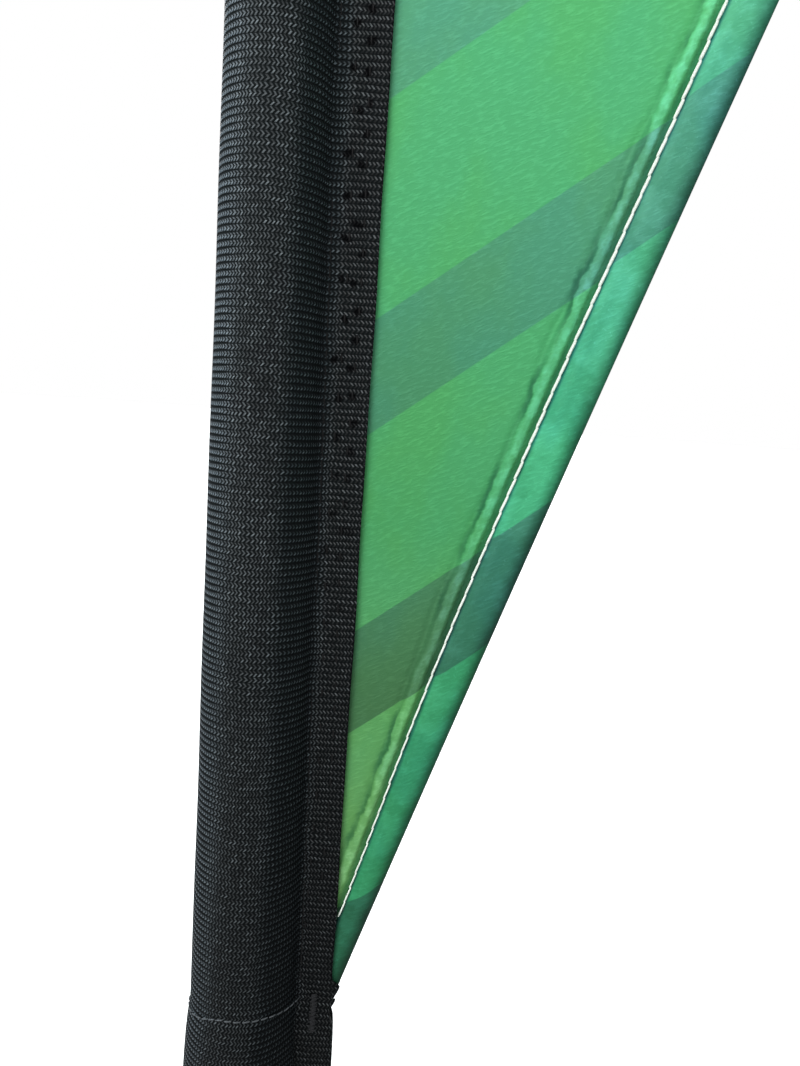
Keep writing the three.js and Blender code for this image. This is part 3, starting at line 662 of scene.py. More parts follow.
def make_piece(
    name: str, points: Rows, faces: Rows, uv: Rows | None = None, caps: list | None = None
) -> Piece:
    """Put points and quads into a new object.

    Args:
        name: Name of the piece.
        points: Points as an array whose last axis is x, y and z.
        faces: Quads as point numbers.
        uv: Map places of the points in metres, if the cloth needs them.
        caps: Extra faces, each a list of point numbers.

    Returns:
        The new object, smooth shaded, in the scene.
    """
    mesh = bpy.data.meshes.new(name)
    mesh.from_pydata(points.reshape(-1, 3).tolist(), [], [*faces.tolist(), *(caps or [])])
    if uv is not None:
        layer = mesh.uv_layers.new(name=CLOTH_MAP)
        corner = np.empty(len(mesh.loops), dtype=np.int32)
        mesh.loops.foreach_get("vertex_index", corner)
        layer.data.foreach_set("uv", uv.reshape(-1, 2)[corner].astype(np.float32).ravel())
    shade_smooth(mesh)
    mesh.validate()
    return add_object(name, mesh)


def settle(piece: Piece, material: Material, slot: str, *nodes: str, body: str = Body.MAST.value) -> None:
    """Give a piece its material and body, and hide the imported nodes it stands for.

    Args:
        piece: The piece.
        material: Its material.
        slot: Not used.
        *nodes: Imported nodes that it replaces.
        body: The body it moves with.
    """
    piece.data.materials.append(material)
    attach(piece, body)
    if nodes:
        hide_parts(*nodes)
    LOG.info("%s: %d faces on %s", piece.name, len(piece.data.polygons), body)


def stitches(
    name: str, centres: Rows, along: Rows, out: Rows, length: float, radius: Rows | float, tilt: float,
    sides: int = 7,
) -> Piece:
    """Row of short thread capsules.

    Each stitch is a swept circle whose radius follows a half ellipse at both ends; its axis is the seam's
    direction turned by the tilt within the cloth.

    Args:
        name: Name of the piece.
        centres: Middle of each stitch, n by 3.
        along: Unit direction of the seam at each stitch.
        out: Unit direction out of the cloth at each stitch.
        length: Length of one stitch.
        radius: Thread radius, one or one for each stitch.
        tilt: Turn of each stitch from the seam, in radians.
        sides: Points around the thread.

    Returns:
        The new object.
    """
    across = np.cross(out, along)
    axis = along * math.cos(tilt) + across * math.sin(tilt)
    side = np.cross(out, axis)
    t = np.array([-1.0, -0.93, -0.6, 0.0, 0.6, 0.93, 1.0])
    size = np.broadcast_to(radius, len(centres))[:, None]
    thick = np.array([0.45, 0.80, 0.97, 1.0, 0.97, 0.80, 0.45]) * size
    sink = -0.40 * size * np.abs(t) ** 3
    angle = around(sides)
    ring = np.cos(angle)[None, :, None] * side[:, None, :] + np.sin(angle)[None, :, None] * out[:, None, :]
    points = (
        centres[:, None, None, :]
        + (t * length / 2)[None, :, None, None] * axis[:, None, None, :]
        + sink[:, :, None, None] * out[:, None, None, :]
        + thick[:, :, None, None] * ring[:, None, :, :]
    )
    one = grid_faces(len(t), sides, True)
    starts = (np.arange(len(centres)) * len(t) * sides)[:, None]
    faces = (one[None] + starts[:, :, None]).reshape(-1, 4)
    first = np.arange(sides)[::-1]
    last = np.arange(sides) + (len(t) - 1) * sides
    caps = np.concatenate([starts + first, starts + last]).tolist()
    return make_piece(name, points, faces[:, ::-1], caps=[cap[::-1] for cap in caps])


@dataclass
class PoleLine:
    """Centreline of the pole: upright from the floor, then bent over in the flag's plane.

    The heading from upright is the end heading times t cubed times (4 - 3t), with t the share of the bend.
    """

    bend_start: float
    bend_length: float = 1.4
    end_heading: float = math.radians(172)
    steps: int = 4000
    table: tuple = field(init=False)

    def __post_init__(self) -> None:
        """Add the bend up in small steps."""
        t = np.linspace(0.0, 1.0, self.steps + 1)
        heading = self.end_heading * t**3 * (4.0 - 3.0 * t)
        middle = (heading[1:] + heading[:-1]) / 2
        step = self.bend_length / self.steps
        x = running(np.sin(middle) * step)
        z = running(np.cos(middle) * step) + self.bend_start
        self.table = (t * self.bend_length + self.bend_start, x, z, heading)

    @property
    def end(self) -> float:
        """Distance up the pole at the end of the bend, counted as height while it is upright."""
        return self.bend_start + self.bend_length

    def at(self, s: Rows) -> tuple[Rows, Rows, Rows]:
        """Centre and heading at distances up the pole.

        Args:
            s: Distances, equal to the height while the pole is upright.

        Returns:
            x, z and heading.
        """
        s = np.asarray(s, dtype=float)
        lengths, xs, zs, headings = self.table
        heading = np.where(s < self.bend_start, 0.0, np.interp(s, lengths, headings))
        past = np.maximum(s - self.end, 0.0)
        x = np.interp(s, lengths, xs) + past * math.sin(self.end_heading)
        z = np.where(s < self.bend_start, s, np.interp(s, lengths, zs) + past * math.cos(self.end_heading))
        return x, z, heading

    def place(self, s: Rows, u: Rows, v: Rows) -> Rows:
        """Points beside the pole.

        Args:
            s: Distance up the pole.
            u: Distance from its axis toward the flag's inside.
            v: Distance across the flag's plane, along +Y.

        Returns:
            Points with x, y and z on the last axis.
        """
        x, z, heading = self.at(s)
        return joined(x + u * np.cos(heading), v, z - u * np.sin(heading))


def ladder(start: float, dense_end: float, end: float, fine: float, coarse: float) -> Rows:
    """Rising values, close together up to one place and wider apart after it."""
    near = np.linspace(start, dense_end, max(2, round((dense_end - start) / fine)))
    far = np.linspace(dense_end, end, max(2, round((end - dense_end) / coarse)))
    return np.concatenate([near, far[1:]])


@dataclass
class Cloth:
    """The flag's cloth: panel, hem, sleeve, cuff and pocket, with their seams."""

    line: PoleLine
    tip: float
    corner: float
    corner_spot: tuple
    radius: float = 11.3 * MM
    band_edge: float = 22.8 * MM
    lip: float = 1.5 * MM
    valley: float = 1.15 * MM
    wrap_thick: float = 0.75 * MM
    cuff_below: float = 3.3 * MM
    cuff_rise: float = -1.2 * MM
    cuff_drop: float = -3.0 * MM
    ring_end: float = 15.4 * MM
    bartack_x: float = 18.7 * MM
    stitch_rows: tuple = (3.8 * MM, 6.8 * MM)
    row_pitch: tuple = (5.9 * MM, 8.3 * MM)
    tip_x: float = 24.7 * MM
    tip_slope: float = math.tan(math.radians(18))
    dense: float = 262 * MM
    panel_thick: float = 0.24 * MM
    band_points: int = 18
    round_points: int = 44
    mean_lean: float = 0.38
    hem_flat: float = 0.021

    def seam_at(self, s: Rows) -> Rows:
        """Place of the sleeve's long seam: nearer the pole higher up."""
        return (14.3 - 3.1 * np.clip((s - self.tip) / (205 * MM), 0.0, 1.0)) * MM

    def drift(self, s: Rows) -> Rows:
        """Wander of the band's stitch rows from straight."""
        return 0.5 * MM * np.sin(s / (17 * MM))

    def edge_at(self, s: Rows) -> Rows:
        """Edge of the sleeve's band, with the corner that is folded over the flag's lower tip."""
        h = (s - self.tip) / MM
        fold = 2.2 * np.clip((h + 6.0) / 5.4, 0.0, 1.0) * smooth(h, 0.6, -0.6)
        waist = 0.65 * np.exp(-(((h + 6.6) / 2.2) ** 2))
        edge = self.band_edge + (fold - waist) * MM
        return edge + 0.12 * MM * np.sin(s / (7.3 * MM)) * np.sin(s / (23 * MM))

    def section(self, s: Rows, grow: Rows) -> tuple[Rows, Rows]:
        """Outer line of the wrapped strip, from the band's front edge round the pole to its back edge.

        The round part is half an ellipse from the seam to the far side of the pole; the band is flat and
        pinched at the seam. The line is then smoothed along itself.

        Args:
            s: Distances up the pole, n by 1.
            grow: Distance outward from the sleeve's own line, n by 1.

        Returns:
            u and v of the line's points, n by m.
        """
        seam = self.seam_at(s)
        edge = self.edge_at(s) + grow
        t = np.linspace(0.0, 1.0, self.band_points)[None, :]
        band_u = edge + (seam + 0.35 * MM - edge) * t
        pinch = np.clip((t - 0.72) / 0.28, 0.0, 1.0) ** 2
        band_v = (self.lip + grow) - (self.lip - self.valley) * pinch
        half = (seam + self.radius) / 2 + grow
        middle = (seam - self.radius) / 2
        start = np.arcsin(np.clip((self.valley + 0.5 * MM + grow) / (self.radius + grow), 0.0, 1.0))
        phi = start + (math.pi - start) * np.linspace(0.0, 1.0, self.round_points)[None, :]
        easing = 1.0 - 0.10 * np.exp(-(((phi - 0.55) / 0.35) ** 2))
        round_u = middle + half * np.cos(phi)
        round_v = (self.radius + grow) * np.sin(phi) * easing
        u = np.concatenate([band_u, round_u], axis=1)
        v = np.concatenate([np.broadcast_to(band_v, band_u.shape), round_v], axis=1)
        u = np.concatenate([u, u[:, -2::-1]], axis=1)
        v = np.concatenate([-v, v[:, -2::-1]], axis=1)
        for line in (u, v):
            relax(line, 3)
        return u, v

    def outward(self, u: Rows, v: Rows) -> tuple[Rows, Rows]:
        """Unit direction out of the cloth along a section line, from its slope."""
        du, dv = np.gradient(u, axis=1), np.gradient(v, axis=1)
        size = np.hypot(du, dv) + 1e-12
        return -dv / size, du / size

    def worked(self, s: Rows, u: Rows, grow: Rows) -> Rows:
        """Height of the cloth's small waves, less the dimples where the band is stitched through.

        A dimple's depth falls off as a bell across the row and as a raised cosine to the eighth along it.
        """
        waves = 0.10 * np.sin(s / (31 * MM) + 0.2 * u / MM) * np.sin(s / (11.7 * MM))
        waves = waves + 0.05 * np.sin(s / (3.1 * MM) + u / (2.7 * MM)) * smooth(u, 13 * MM, 16 * MM)
        inset = self.band_edge - u
        dimples = np.zeros_like(waves)
        for row, pitch in zip(self.stitch_rows, self.row_pitch):
            bell = np.exp(-(((inset - (row + self.drift(s))) / (0.75 * MM)) ** 2))
            dimples = dimples + bell * (0.5 + 0.5 * np.cos(2 * math.pi * s / pitch)) ** 4
        return (waves - 0.42 * dimples * np.exp(-((grow / MM) ** 2))) * MM

    def cuff_slope(self, u: Rows) -> Rows:
        """Shift of the cuff's top edge: lower over the band, and lower again on the far side of the pole."""
        rise = self.cuff_rise * smooth(u, 7 * MM, 15.5 * MM)
        return rise + self.cuff_drop * smooth(-u, 1 * MM, self.radius)

    def wrapped(
        self, name: str, s: Rows, grow: Rows, thick: float, slope: float = 0.0, shut: Rows | float = 0.0
    ) -> tuple[Piece, float]:
        """Closed strip of cloth around the pole.

        Args:
            name: Name of the piece.
            s: Distances up the pole, rising.
            grow: Distance outward from the sleeve's own line at each.
            thick: Cloth thickness.
            slope: Share of the cuff's slope that the strip's top edge follows.
            shut: How far each row is pressed flat, from 0 to 1.

        Returns:
            The new object with a map in metres, across from the far side of the pole and along up the pole,
            and the width of its cloth when flat.
        """
        rows = s[:, None]
        u, v = self.section(rows, grow[:, None])
        share = (rows - s[0]) / (s[-1] - s[0])
        rows = rows + slope * self.cuff_slope(u) * share**3
        out_u, out_v = self.outward(u, v)
        wave = self.worked(rows, u, grow[:, None])
        u, v = u + out_u * wave, v + out_v * wave
        full_u = np.concatenate([u, (u - out_u * thick)[:, ::-1]], axis=1)
        full_v = np.concatenate([v, (v - out_v * thick)[:, ::-1]], axis=1)
        full_rows = np.concatenate(np.broadcast_arrays(rows + 0 * u, (rows + 0 * u)[:, ::-1]), axis=1)
        pressed = 1.0 - np.reshape(np.broadcast_to(shut, s.shape), (-1, 1))
        points = self.line.place(full_rows, full_u, full_v * pressed)
        step = np.hypot(np.diff(u, axis=1), np.diff(v, axis=1))
        across = np.concatenate([np.zeros((len(s), 1)), np.cumsum(step, axis=1)], axis=1)
        width = float(np.mean(across[:, -1]))
        across = across - across[:, u.shape[1] // 2][:, None]
        across = np.concatenate([across, across[:, ::-1]], axis=1)
        uv = np.stack([across, full_rows], axis=-1)
        columns = full_u.shape[1]
        faces = grid_faces(len(s), columns, True)
        i = np.arange(columns // 2 - 1)
        strip = np.stack([i, i + 1, columns - 2 - i, columns - 1 - i], axis=1)
        top = strip + (len(s) - 1) * columns
        piece = make_piece(name, points, np.concatenate([faces, strip[:, ::-1], top]), uv)
        outward_faces(piece)
        return piece, width

    def build_strip(
        self, weave: Material, name: str, node: str, rests_on: list, s: Rows, grow: Rows, thick: float,
        **shape: object,
    ) -> None:
        piece, width = self.wrapped(name, s, grow, thick, **shape)
        settle(piece, weave, "sleeve_cloth", node)

    def build_sleeve(self, weave: Material) -> None:
        """Build the pole sleeve, with close rows near the flag's lower tip."""
        s = ladder(self.tip - 20 * MM, self.tip + self.dense, self.line.end - 1 * MM, 1.35 * MM, 12 * MM)
        held_by = ["lower_tube", "tip_rod"]
        self.build_strip(weave, "sleeve_cloth", "pole_sleeve", held_by, s, np.zeros_like(s), self.wrap_thick)

    def build_cuff(self, weave: Material) -> None:
        """Build the cuff, which starts at its thread line and widens downward."""
        top = self.tip - self.cuff_below
        s = np.linspace(float(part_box("sleeve_cuff")[0].z), top, 80)
        grow = (0.12 + 1.05 * (1 - np.exp(-(top - s) / (9.0 * MM)))) * MM
        self.build_strip(weave, "cuff_cloth", "sleeve_cuff", ["sleeve_cloth"], s, grow, 0.9 * MM, slope=1.0)

    def build_pocket(self, weave: Material) -> None:
        """Build the pocket that closes over the end of the pole, narrowing past the tip cap."""
        low, high = self.line.end - 44 * MM, self.line.end + 22 * MM
        s = np.linspace(low, high, 72)
        shut = 0.88 * smooth(s, high - 18 * MM, high - 5 * MM)
        grow = (1.15 + 0.25 * np.exp(-(((s - low - 3 * MM) / (1.2 * MM)) ** 2))) * MM
        self.build_strip(weave, "pocket_cloth", "tip_pocket", ["sleeve_cloth"], s, grow, 1.0 * MM, shut=shut)

    def ring_line(self, count: int, clear: float) -> tuple[Rows, Rows, Rows]:
        """Points evenly spaced along the cuff's top edge, with the seam's direction and the way out.

        Args:
            count: Number of points.
            clear: Distance of the points out of the cuff's cloth.

        Returns:
            Points, unit directions along the seam and unit directions out of the cloth.
        """
        edge = np.array([[self.tip - self.cuff_below]])
        u, v = self.section(edge, np.array([[0.12 * MM]]))
        out_u, out_v = self.outward(u, v)
        height = edge + self.cuff_slope(u) - 0.25 * MM
        points = joined(u + out_u * clear, v + out_v * clear, height)[0]
        out = joined(out_u, out_v, np.zeros_like(u))[0]
        reach = points[:, 0] < self.ring_end
        points, out = points[reach], out[reach]
        length = running(np.linalg.norm(np.diff(points, axis=0), axis=1))
        at = np.linspace(length[0] + 0.5 * MM, length[-1] - 0.5 * MM, count)
        spots, out = (joined(*(np.interp(at, length, axis) for axis in line.T)) for line in (points, out))
        return spots, unit(np.gradient(spots, axis=0)), unit(out)

    def build_cuff_seams(self, grey: Material, black: Material) -> None:
        """Build the cuff's thread ring and the bartack that closes it on both sides of the band."""
        spots, along, out = self.ring_line(36, 0.16 * MM)
        ring = stitches("cuff_thread", spots, along, out, 1.7 * MM, 0.15 * MM, math.radians(6))
        settle(ring, grey, "sleeve_cloth")
        rows = 30
        height = self.tip + np.linspace(-3.0, -12.6, rows) * MM
        x = self.bartack_x + 0.30 * MM * np.sin(np.arange(rows) * 2.3)
        below = np.maximum(self.tip - self.cuff_below - height, 0)
        proud = self.lip + 0.30 * MM + 0.12 * MM + 0.75 * MM * (1 - np.exp(-below / (9 * MM)))
        lie = np.tile([1.0, 0.0, 0.0], (rows, 1))
        for name, side in (("bartack_front", -1.0), ("bartack_back", 1.0)):
            centres = joined(x, side * proud, height)
            tack = stitches(name, centres, lie, facing(side, rows), 1.4 * MM, 0.22 * MM, math.radians(16))
            settle(tack, black, "sleeve_cloth")

    def build_band_threads(self, black: Material) -> None:
        """Build the black thread that goes down into the band's dimples, and the seam in the valley."""
        for number, (row, pitch) in enumerate(zip(self.stitch_rows, self.row_pitch)):
            low, high = (self.tip + 8 * MM) / pitch, (self.line.end - 60 * MM) / pitch
            s = np.arange(math.ceil(low), int(high)) * pitch
            u = self.band_edge - (row + self.drift(s))
            name = f"band_thread_{number + 1}"
            self.thread_run(name, s, u, self.lip - 0.16 * MM, 1.9 * MM, 0.22 * MM, black)
        s = np.arange(self.tip + 2 * MM, self.line.end - 50 * MM, 3.4 * MM)
        u = self.seam_at(s) + 0.9 * MM
        self.thread_run("valley_thread", s, u, self.valley + 0.10 * MM, 2.9 * MM, 0.20 * MM, black)

    def thread_run(
        self, name: str, s: Rows, u: Rows, v: float, length: float, radius: float, thread: Material
    ) -> None:
        """Row of stitches up the band, on its front and on its back, as one piece."""
        ahead = self.line.place(s + MM, u, 0 * s) - self.line.place(s, u, 0 * s)
        spots, out = (np.concatenate(both) for both in zip(*(
            (self.line.place(s, u, np.full_like(s, side * v)), facing(side, len(s))) for side in (-1.0, 1.0)
        )))
        along = unit(np.concatenate([ahead, ahead]))
        settle(stitches(name, spots, along, out, length, radius, 0.06, 5), thread, "sleeve_cloth")

    def edge_point(self, h: Rows, inward: Rows) -> tuple[Rows, Rows]:
        """Points on the trailing edge, moved inward.

        The edge starts at the lower tip at its slope and bends evenly to reach the upper corner.

        Args:
            h: Height above the lower tip.
            inward: Distance inward from the edge.

        Returns:
            x and z.
        """
        hollow = (self.corner_spot[0] - self.tip_x - self.tip_slope * self.rise) / self.rise**2
        lean = self.tip_slope + 2 * hollow * h
        size = np.hypot(1.0, lean)
        x = self.tip_x + self.tip_slope * h + hollow * h * h - inward / size
        return x, self.tip + h + inward * lean / size

    def hem_width(self, h: Rows) -> Rows:
        """Distance from the outer edge to the hem's thread: narrower near the tip."""
        return (6.3 + 3.3 * smooth(h, -10 * MM, 110 * MM)) * MM

    @property
    def rise(self) -> float:
        """Height of the upper corner above the lower tip."""
        return self.corner_spot[1] - self.tip

    def pucker(self, h: Rows, depth: Rows) -> Rows:
        """Small folds that run off the thread line, fading with distance from it."""
        wave = np.sin(h / (1.55 * MM) + 2.2 * np.sin(h / (13 * MM)) + depth / (1.4 * MM))
        swell = np.sin(h / (5.3 * MM) + depth / (2.6 * MM) + 1.7 * np.sin(h / (37 * MM)))
        strength = 0.55 + 0.45 * np.sin(h / (19 * MM) + 0.8)
        swell = 0.38 * swell * strength * smooth(depth, 0.0, 2.5 * MM)
        return (0.17 * wave * np.exp(-depth / (2.2 * MM)) + swell) * MM

    def kept(self, x: Rows, low: float, high: float) -> Rows:
        """Share of its relief that the cloth keeps, from little at one place to all of it at another."""
        return 0.26 + 0.74 * smooth(x, low, high)

    def room(self, x: Rows) -> Rows:
        """Share of relief kept at a distance from the pole: little between the band's lips, all outside."""
        return self.kept(x, self.band_edge, self.band_edge + 6 * MM)

    def build_hem(self, cloth: Material) -> None:
        """Build the turned hem: front layer from the thread to the edge, round fold, and back layer."""
        h = ladder(-1.5 * MM, self.dense, self.rise + 6 * MM, 0.75 * MM, 3.6 * MM)[:, None]
        width = self.hem_width(h)
        front = np.linspace(0.0, 1.0, 20)[None, ::-1] ** 1.6
        back = np.linspace(0.0, 1.0, 16)[None, 1:] ** 1.6
        inward = np.concatenate([front * width, back * (width + 2.3 * MM)], axis=1)
        side = np.concatenate([-np.ones(front.shape), np.ones(back.shape)], axis=1)
        nose = np.clip(inward / (4.6 * MM), 0.0, 1.0)
        swell = np.sqrt(1.0 - (1.0 - nose) ** 2)
        groove = smooth(inward, width - 2.2 * MM, width - 0.1 * MM)
        puff = 1.75 * MM * swell * (1.0 - 0.86 * groove)
        x, z = self.edge_point(h, inward)
        held = self.kept(self.rise - h, 14 * MM, 50 * MM)
        y = (side * puff - self.pucker(h, width - inward) * swell) * self.room(x) * held
        uv = joined(inward, np.abs(width - inward))
        piece = make_piece("hem_cloth", joined(x, y, z), grid_faces(*y.shape, False), uv)
        thicken(piece, self.panel_thick)
        settle(piece, cloth, "hem_cloth", "trailing_hem")

    def build_panel(self, cloth: Material) -> None:
        """Build the printed panel between the sleeve's lips and the hem's thread.

        Rows run from the sleeve to the trailing edge; on that edge the height is the rise times
        1 - (1 - share) to the power of the two edges' length ratio, so that low rows are level.
        """
        run = self.corner - self.tip
        step = ladder(0.5 * MM, self.dense, run, 1.25 * MM, 9 * MM)[:, None]
        h = (self.rise - 1 * MM) * (1.0 - (1.0 - step / run) ** (run / self.rise))
        lead_x, lead_z, heading = self.line.at(self.tip + step)
        hold = 13.6 * MM + 1.2 * MM * (1 - smooth(step, 0.0, 120 * MM))
        lead_x, lead_z = lead_x + hold * np.cos(heading), lead_z - hold * np.sin(heading)
        x, z = self.edge_point(h, self.hem_width(h))
        width = np.hypot(x - lead_x, z - lead_z)
        near = np.linspace(0.0, 8.0 * MM, 30)[None, :]
        scale = np.minimum(1.0, width / (18 * MM))
        close = near * scale
        far = close[:, -1:] + (width - close[:, -1:]) * np.linspace(0.0, 1.0, 44)[None, 1:]
        depth = np.concatenate([close, far], axis=1)
        share = depth / width
        drift = 0.45 * MM * np.sin(h / (8.3 * MM) + 1.4 * np.sin(h / (29 * MM)))
        drift = drift + 0.22 * MM * np.sin(h / (3.1 * MM))
        ridge = smooth(depth, 1.1 * MM, 2.3 * MM) * smooth(depth + drift, 4.9 * MM, 3.3 * MM)
        trough = np.exp(-(((depth + drift - 5.1 * MM) / (0.9 * MM)) ** 2))
        fade = smooth(share, 1.0, 0.75)
        wave = 1.1 * MM * np.sin(z / (64 * MM) + x / (38 * MM))
        wave = wave * np.sin(math.pi * np.clip(share, 0, 1)) ** 1.5
        strain = 0.35 * MM * np.sin(x / (17 * MM) - z / (29 * MM)) * np.sin(math.pi * share)
        strain = strain * smooth(width, 0.0, 80 * MM)
        y = -(0.20 + 0.95 * ridge - 0.25 * trough) * MM * fade + (wave * smooth(width, 0.04, 0.3) + strain)
        y = y - self.pucker(h, depth) * np.exp(-depth / (4 * MM)) * 0.8
        across, up = x + (lead_x - x) * share, z + (lead_z - z) * share
        y = y * smooth(share, 1.0, 0.9) * np.where(up < self.tip + 0.3, self.room(across), 1.0)
        points = joined(across, y, up)
        piece = make_piece("panel_cloth", points, grid_faces(*y.shape, False)[:, ::-1], joined(depth, step))
        thicken(piece, self.panel_thick)
        settle(piece, cloth, "printed_cloth", "flag_panel")
        low, high = points.reshape(-1, 3).min(0), points.reshape(-1, 3).max(0)
        flat = (float(high[0] - low[0]), float(high[2] - low[2]))
        row_gap = np.hypot(*(np.diff(ends[:, 0]) / 2 for ends in (z + lead_z, x + lead_x)))
        area = float(np.sum((width[1:, 0] + width[:-1, 0]) / 2 * row_gap))
        area = min(area, 0.99 * flat[0] * flat[1])

    def build_hem_thread(self, thread: Material) -> None:
        """Build the white lockstitch on both sides of the hem."""
        pitch = 4.0 * MM
        h = np.arange(17.0 * MM, self.rise + 3 * MM, pitch * 0.95)
        x, z = self.edge_point(h, self.hem_width(h))
        ahead_x, ahead_z = self.edge_point(h + MM, self.hem_width(h + MM))
        along = joined(ahead_x - x, np.zeros_like(x), ahead_z - z)
        along = along / np.linalg.norm(along, axis=1, keepdims=True)
        radius = (0.21 + 0.16 * smooth(h, 20 * MM, 170 * MM)) * MM
        for name, side in (("hem_thread_front", -1.0), ("hem_thread_back", 1.0)):
            wander = 0.04 * MM * np.sin(1.9 * np.arange(len(x))) + 0.12 * MM * np.sin(h / (13 * MM))
            centres = joined(x + wander, np.full_like(x, side * 0.62 * MM), z)
            out = facing(side, len(x))
            piece = stitches(name, centres, along, out, pitch * 1.08, radius, math.radians(2.4 * side))
            settle(piece, thread, "hem_cloth")


def thicken(piece: Piece, thick: float) -> None:
    """Give a single sheet a wall, half on each side."""
    wall = piece.modifiers.new("wall", "SOLIDIFY")
    wall.thickness = thick
    wall.offset = 0.0


@dataclass
class Hardware:
    """Pole, spindle, hook, collar and cross base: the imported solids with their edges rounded."""

    nodes: dict
    record: dict
    soft: tuple = ("pole_sleeve", "sleeve_cuff", "tip_pocket", "flag_panel", "trailing_hem", "tension_strap")
    rounded_angle: float = math.radians(32)
    sharp_angle: float = math.radians(40)
    steps: int = 3

    def build(self) -> None:
        """Round and dress each hard solid by the record's slot."""
        made = {finish.name: (finish.rounding * MM, finish.material()) for finish in HARD_FINISHES}
        for row in self.record["subparts"]:
            node, slot = row["node"], row["material_slot"]
            if node not in self.soft:
                rounding, material = made[slot]
                body = body_of(self.nodes[node])[0]
                settle(self.rounded(node, rounding), material, slot, node, body=body)

    def rounded(self, node: str, rounding: float) -> Piece:
        """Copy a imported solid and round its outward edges.

        Args:
            node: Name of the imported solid.
            rounding: How far its edges are rounded.

        Returns:
            The copy, with no material.
        """
        mesh = self.nodes[node].data.copy()
        mesh.name = f"{node}_body"
        work = bmesh.new()
        work.from_mesh(mesh)
        bmesh.ops.remove_doubles(work, verts=work.verts, dist=1e-6)
        bmesh.ops.dissolve_limit(work, angle_limit=math.radians(1), verts=work.verts, edges=work.edges)
        edges = [edge for edge in work.edges
                 if edge.is_manifold and edge.is_convex and edge.calc_face_angle() > self.rounded_angle]
        bmesh.ops.bevel(work, geom=edges, offset=rounding, offset_type="OFFSET", segments=self.steps,
                        profile=0.5, affect="EDGES", clamp_overlap=True)
        bmesh.ops.triangulate(work, faces=[f for f in work.faces if len(f.verts) > 4])
        work.to_mesh(mesh)
        work.free()
        mesh.materials.clear()
        shade_smooth(mesh)
        mesh.set_sharp_from_angle(angle=self.sharp_angle)
        piece = add_object(mesh.name, mesh)
        piece.modifiers.new("flat_faces", "WEIGHTED_NORMAL").keep_sharp = True
        return piece


@dataclass
class Strap:
    """Webbing doubled around the hook's bar and sewn shut."""

    width: float = 11 * MM
    thick: float = 1.3 * MM
    grip: float = 3.55 * MM
    eye_height: float = 0.330
    join: float = 9.5 * MM
    across: float = 0.0203
    layer_points: int = 60
    ring_points: int = 40

    def path(self) -> tuple[Rows, Rows]:
        """Middle line in y and z: down the front layer, round the bar as an arc, and up the back layer."""
        top = float(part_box("tension_strap")[1].z) - 0.3 * MM
        gap = self.thick / 2 + 0.03 * MM
        low = self.eye_height + self.join
        down = np.linspace(top, low, self.layer_points)
        turn = np.linspace(math.pi + 0.45, 2 * math.pi - 0.45, 36)
        layer = np.full(self.layer_points, gap)
        y = np.concatenate([-layer, self.grip * np.cos(turn), layer])
        z = np.concatenate([down, self.eye_height + self.grip * np.sin(turn), down[::-1]])
        for line in (y, z):
            relax(line, 6)
        return y, z

    def build(self) -> None:
        """Build the webbing and its box of stitches."""
        y, z = self.path()
        dy, dz = np.gradient(y), np.gradient(z)
        size = np.hypot(dy, dz)
        out_y, out_z = dz / size, -dy / size
        turn = around(self.ring_points)
        flat = np.sign(np.cos(turn)) * np.abs(np.cos(turn)) ** 0.25 * self.width / 2
        proud = np.sign(np.sin(turn)) * np.abs(np.sin(turn)) ** 0.6 * self.thick / 2
        points = joined(self.across + flat[None, :], y[:, None] + proud[None, :] * out_y[:, None],
                        z[:, None] + proud[None, :] * out_z[:, None])
        length = running(np.hypot(np.diff(y), np.diff(z)))
        first = np.arange(self.ring_points)
        caps = [first.tolist(), (first[::-1] + (len(y) - 1) * self.ring_points).tolist()]
        faces = grid_faces(len(y), self.ring_points, True)
        strap = make_piece("strap_webbing", points, faces, joined(flat[None, :], length[:, None]), caps)
        outward_faces(strap)
        settle(strap, Webbing().material(), "sleeve_cloth", "tension_strap")
        self.build_box_stitch()

    def build_box_stitch(self) -> None:
        """Build a box with a cross of grey thread on both faces of the doubled webbing."""
        low, high, half = self.eye_height + 12 * MM, self.eye_height + 36 * MM, self.width / 2 - 1.6 * MM
        left, right = self.across - half, self.across + half
        corners_xz = ((left, low), (right, low), (right, high), (left, high))
        lines = ((0, 1), (1, 2), (2, 3), (3, 0), (0, 2), (1, 3))
        spots, along = [], []
        for (x0, z0), (x1, z1) in ((corners_xz[start], corners_xz[end]) for start, end in lines):
            count = max(3, round(math.hypot(x1 - x0, z1 - z0) / (1.9 * MM)))
            t = (np.arange(count) + 0.5) / count
            spots.append(joined(x0 + (x1 - x0) * t, 0 * t, z0 + (z1 - z0) * t))
            along.append(np.tile(unit(np.array([x1 - x0, 0.0, z1 - z0])), (count, 1)))
        spots, along = np.concatenate(spots), np.concatenate(along)
        thread = Spun("grey_thread", linear(92, 95, 97), linear(60, 62, 64)).material()
        for name, side in (("strap_stitch_front", -1.0), ("strap_stitch_back", 1.0)):
            out = facing(side, len(spots))
            proud = spots + out * (self.thick + 0.08 * MM)
            settle(stitches(name, proud, along, out, 1.75 * MM, 0.2 * MM, 0.05), thread, "sleeve_cloth")


def outward_faces(piece: Piece) -> None:
    """Point a closed piece's faces outward."""
    work = bmesh.new()
    work.from_mesh(piece.data)
    bmesh.ops.recalc_face_normals(work, faces=work.faces)
    work.to_mesh(piece.data)
    work.free()


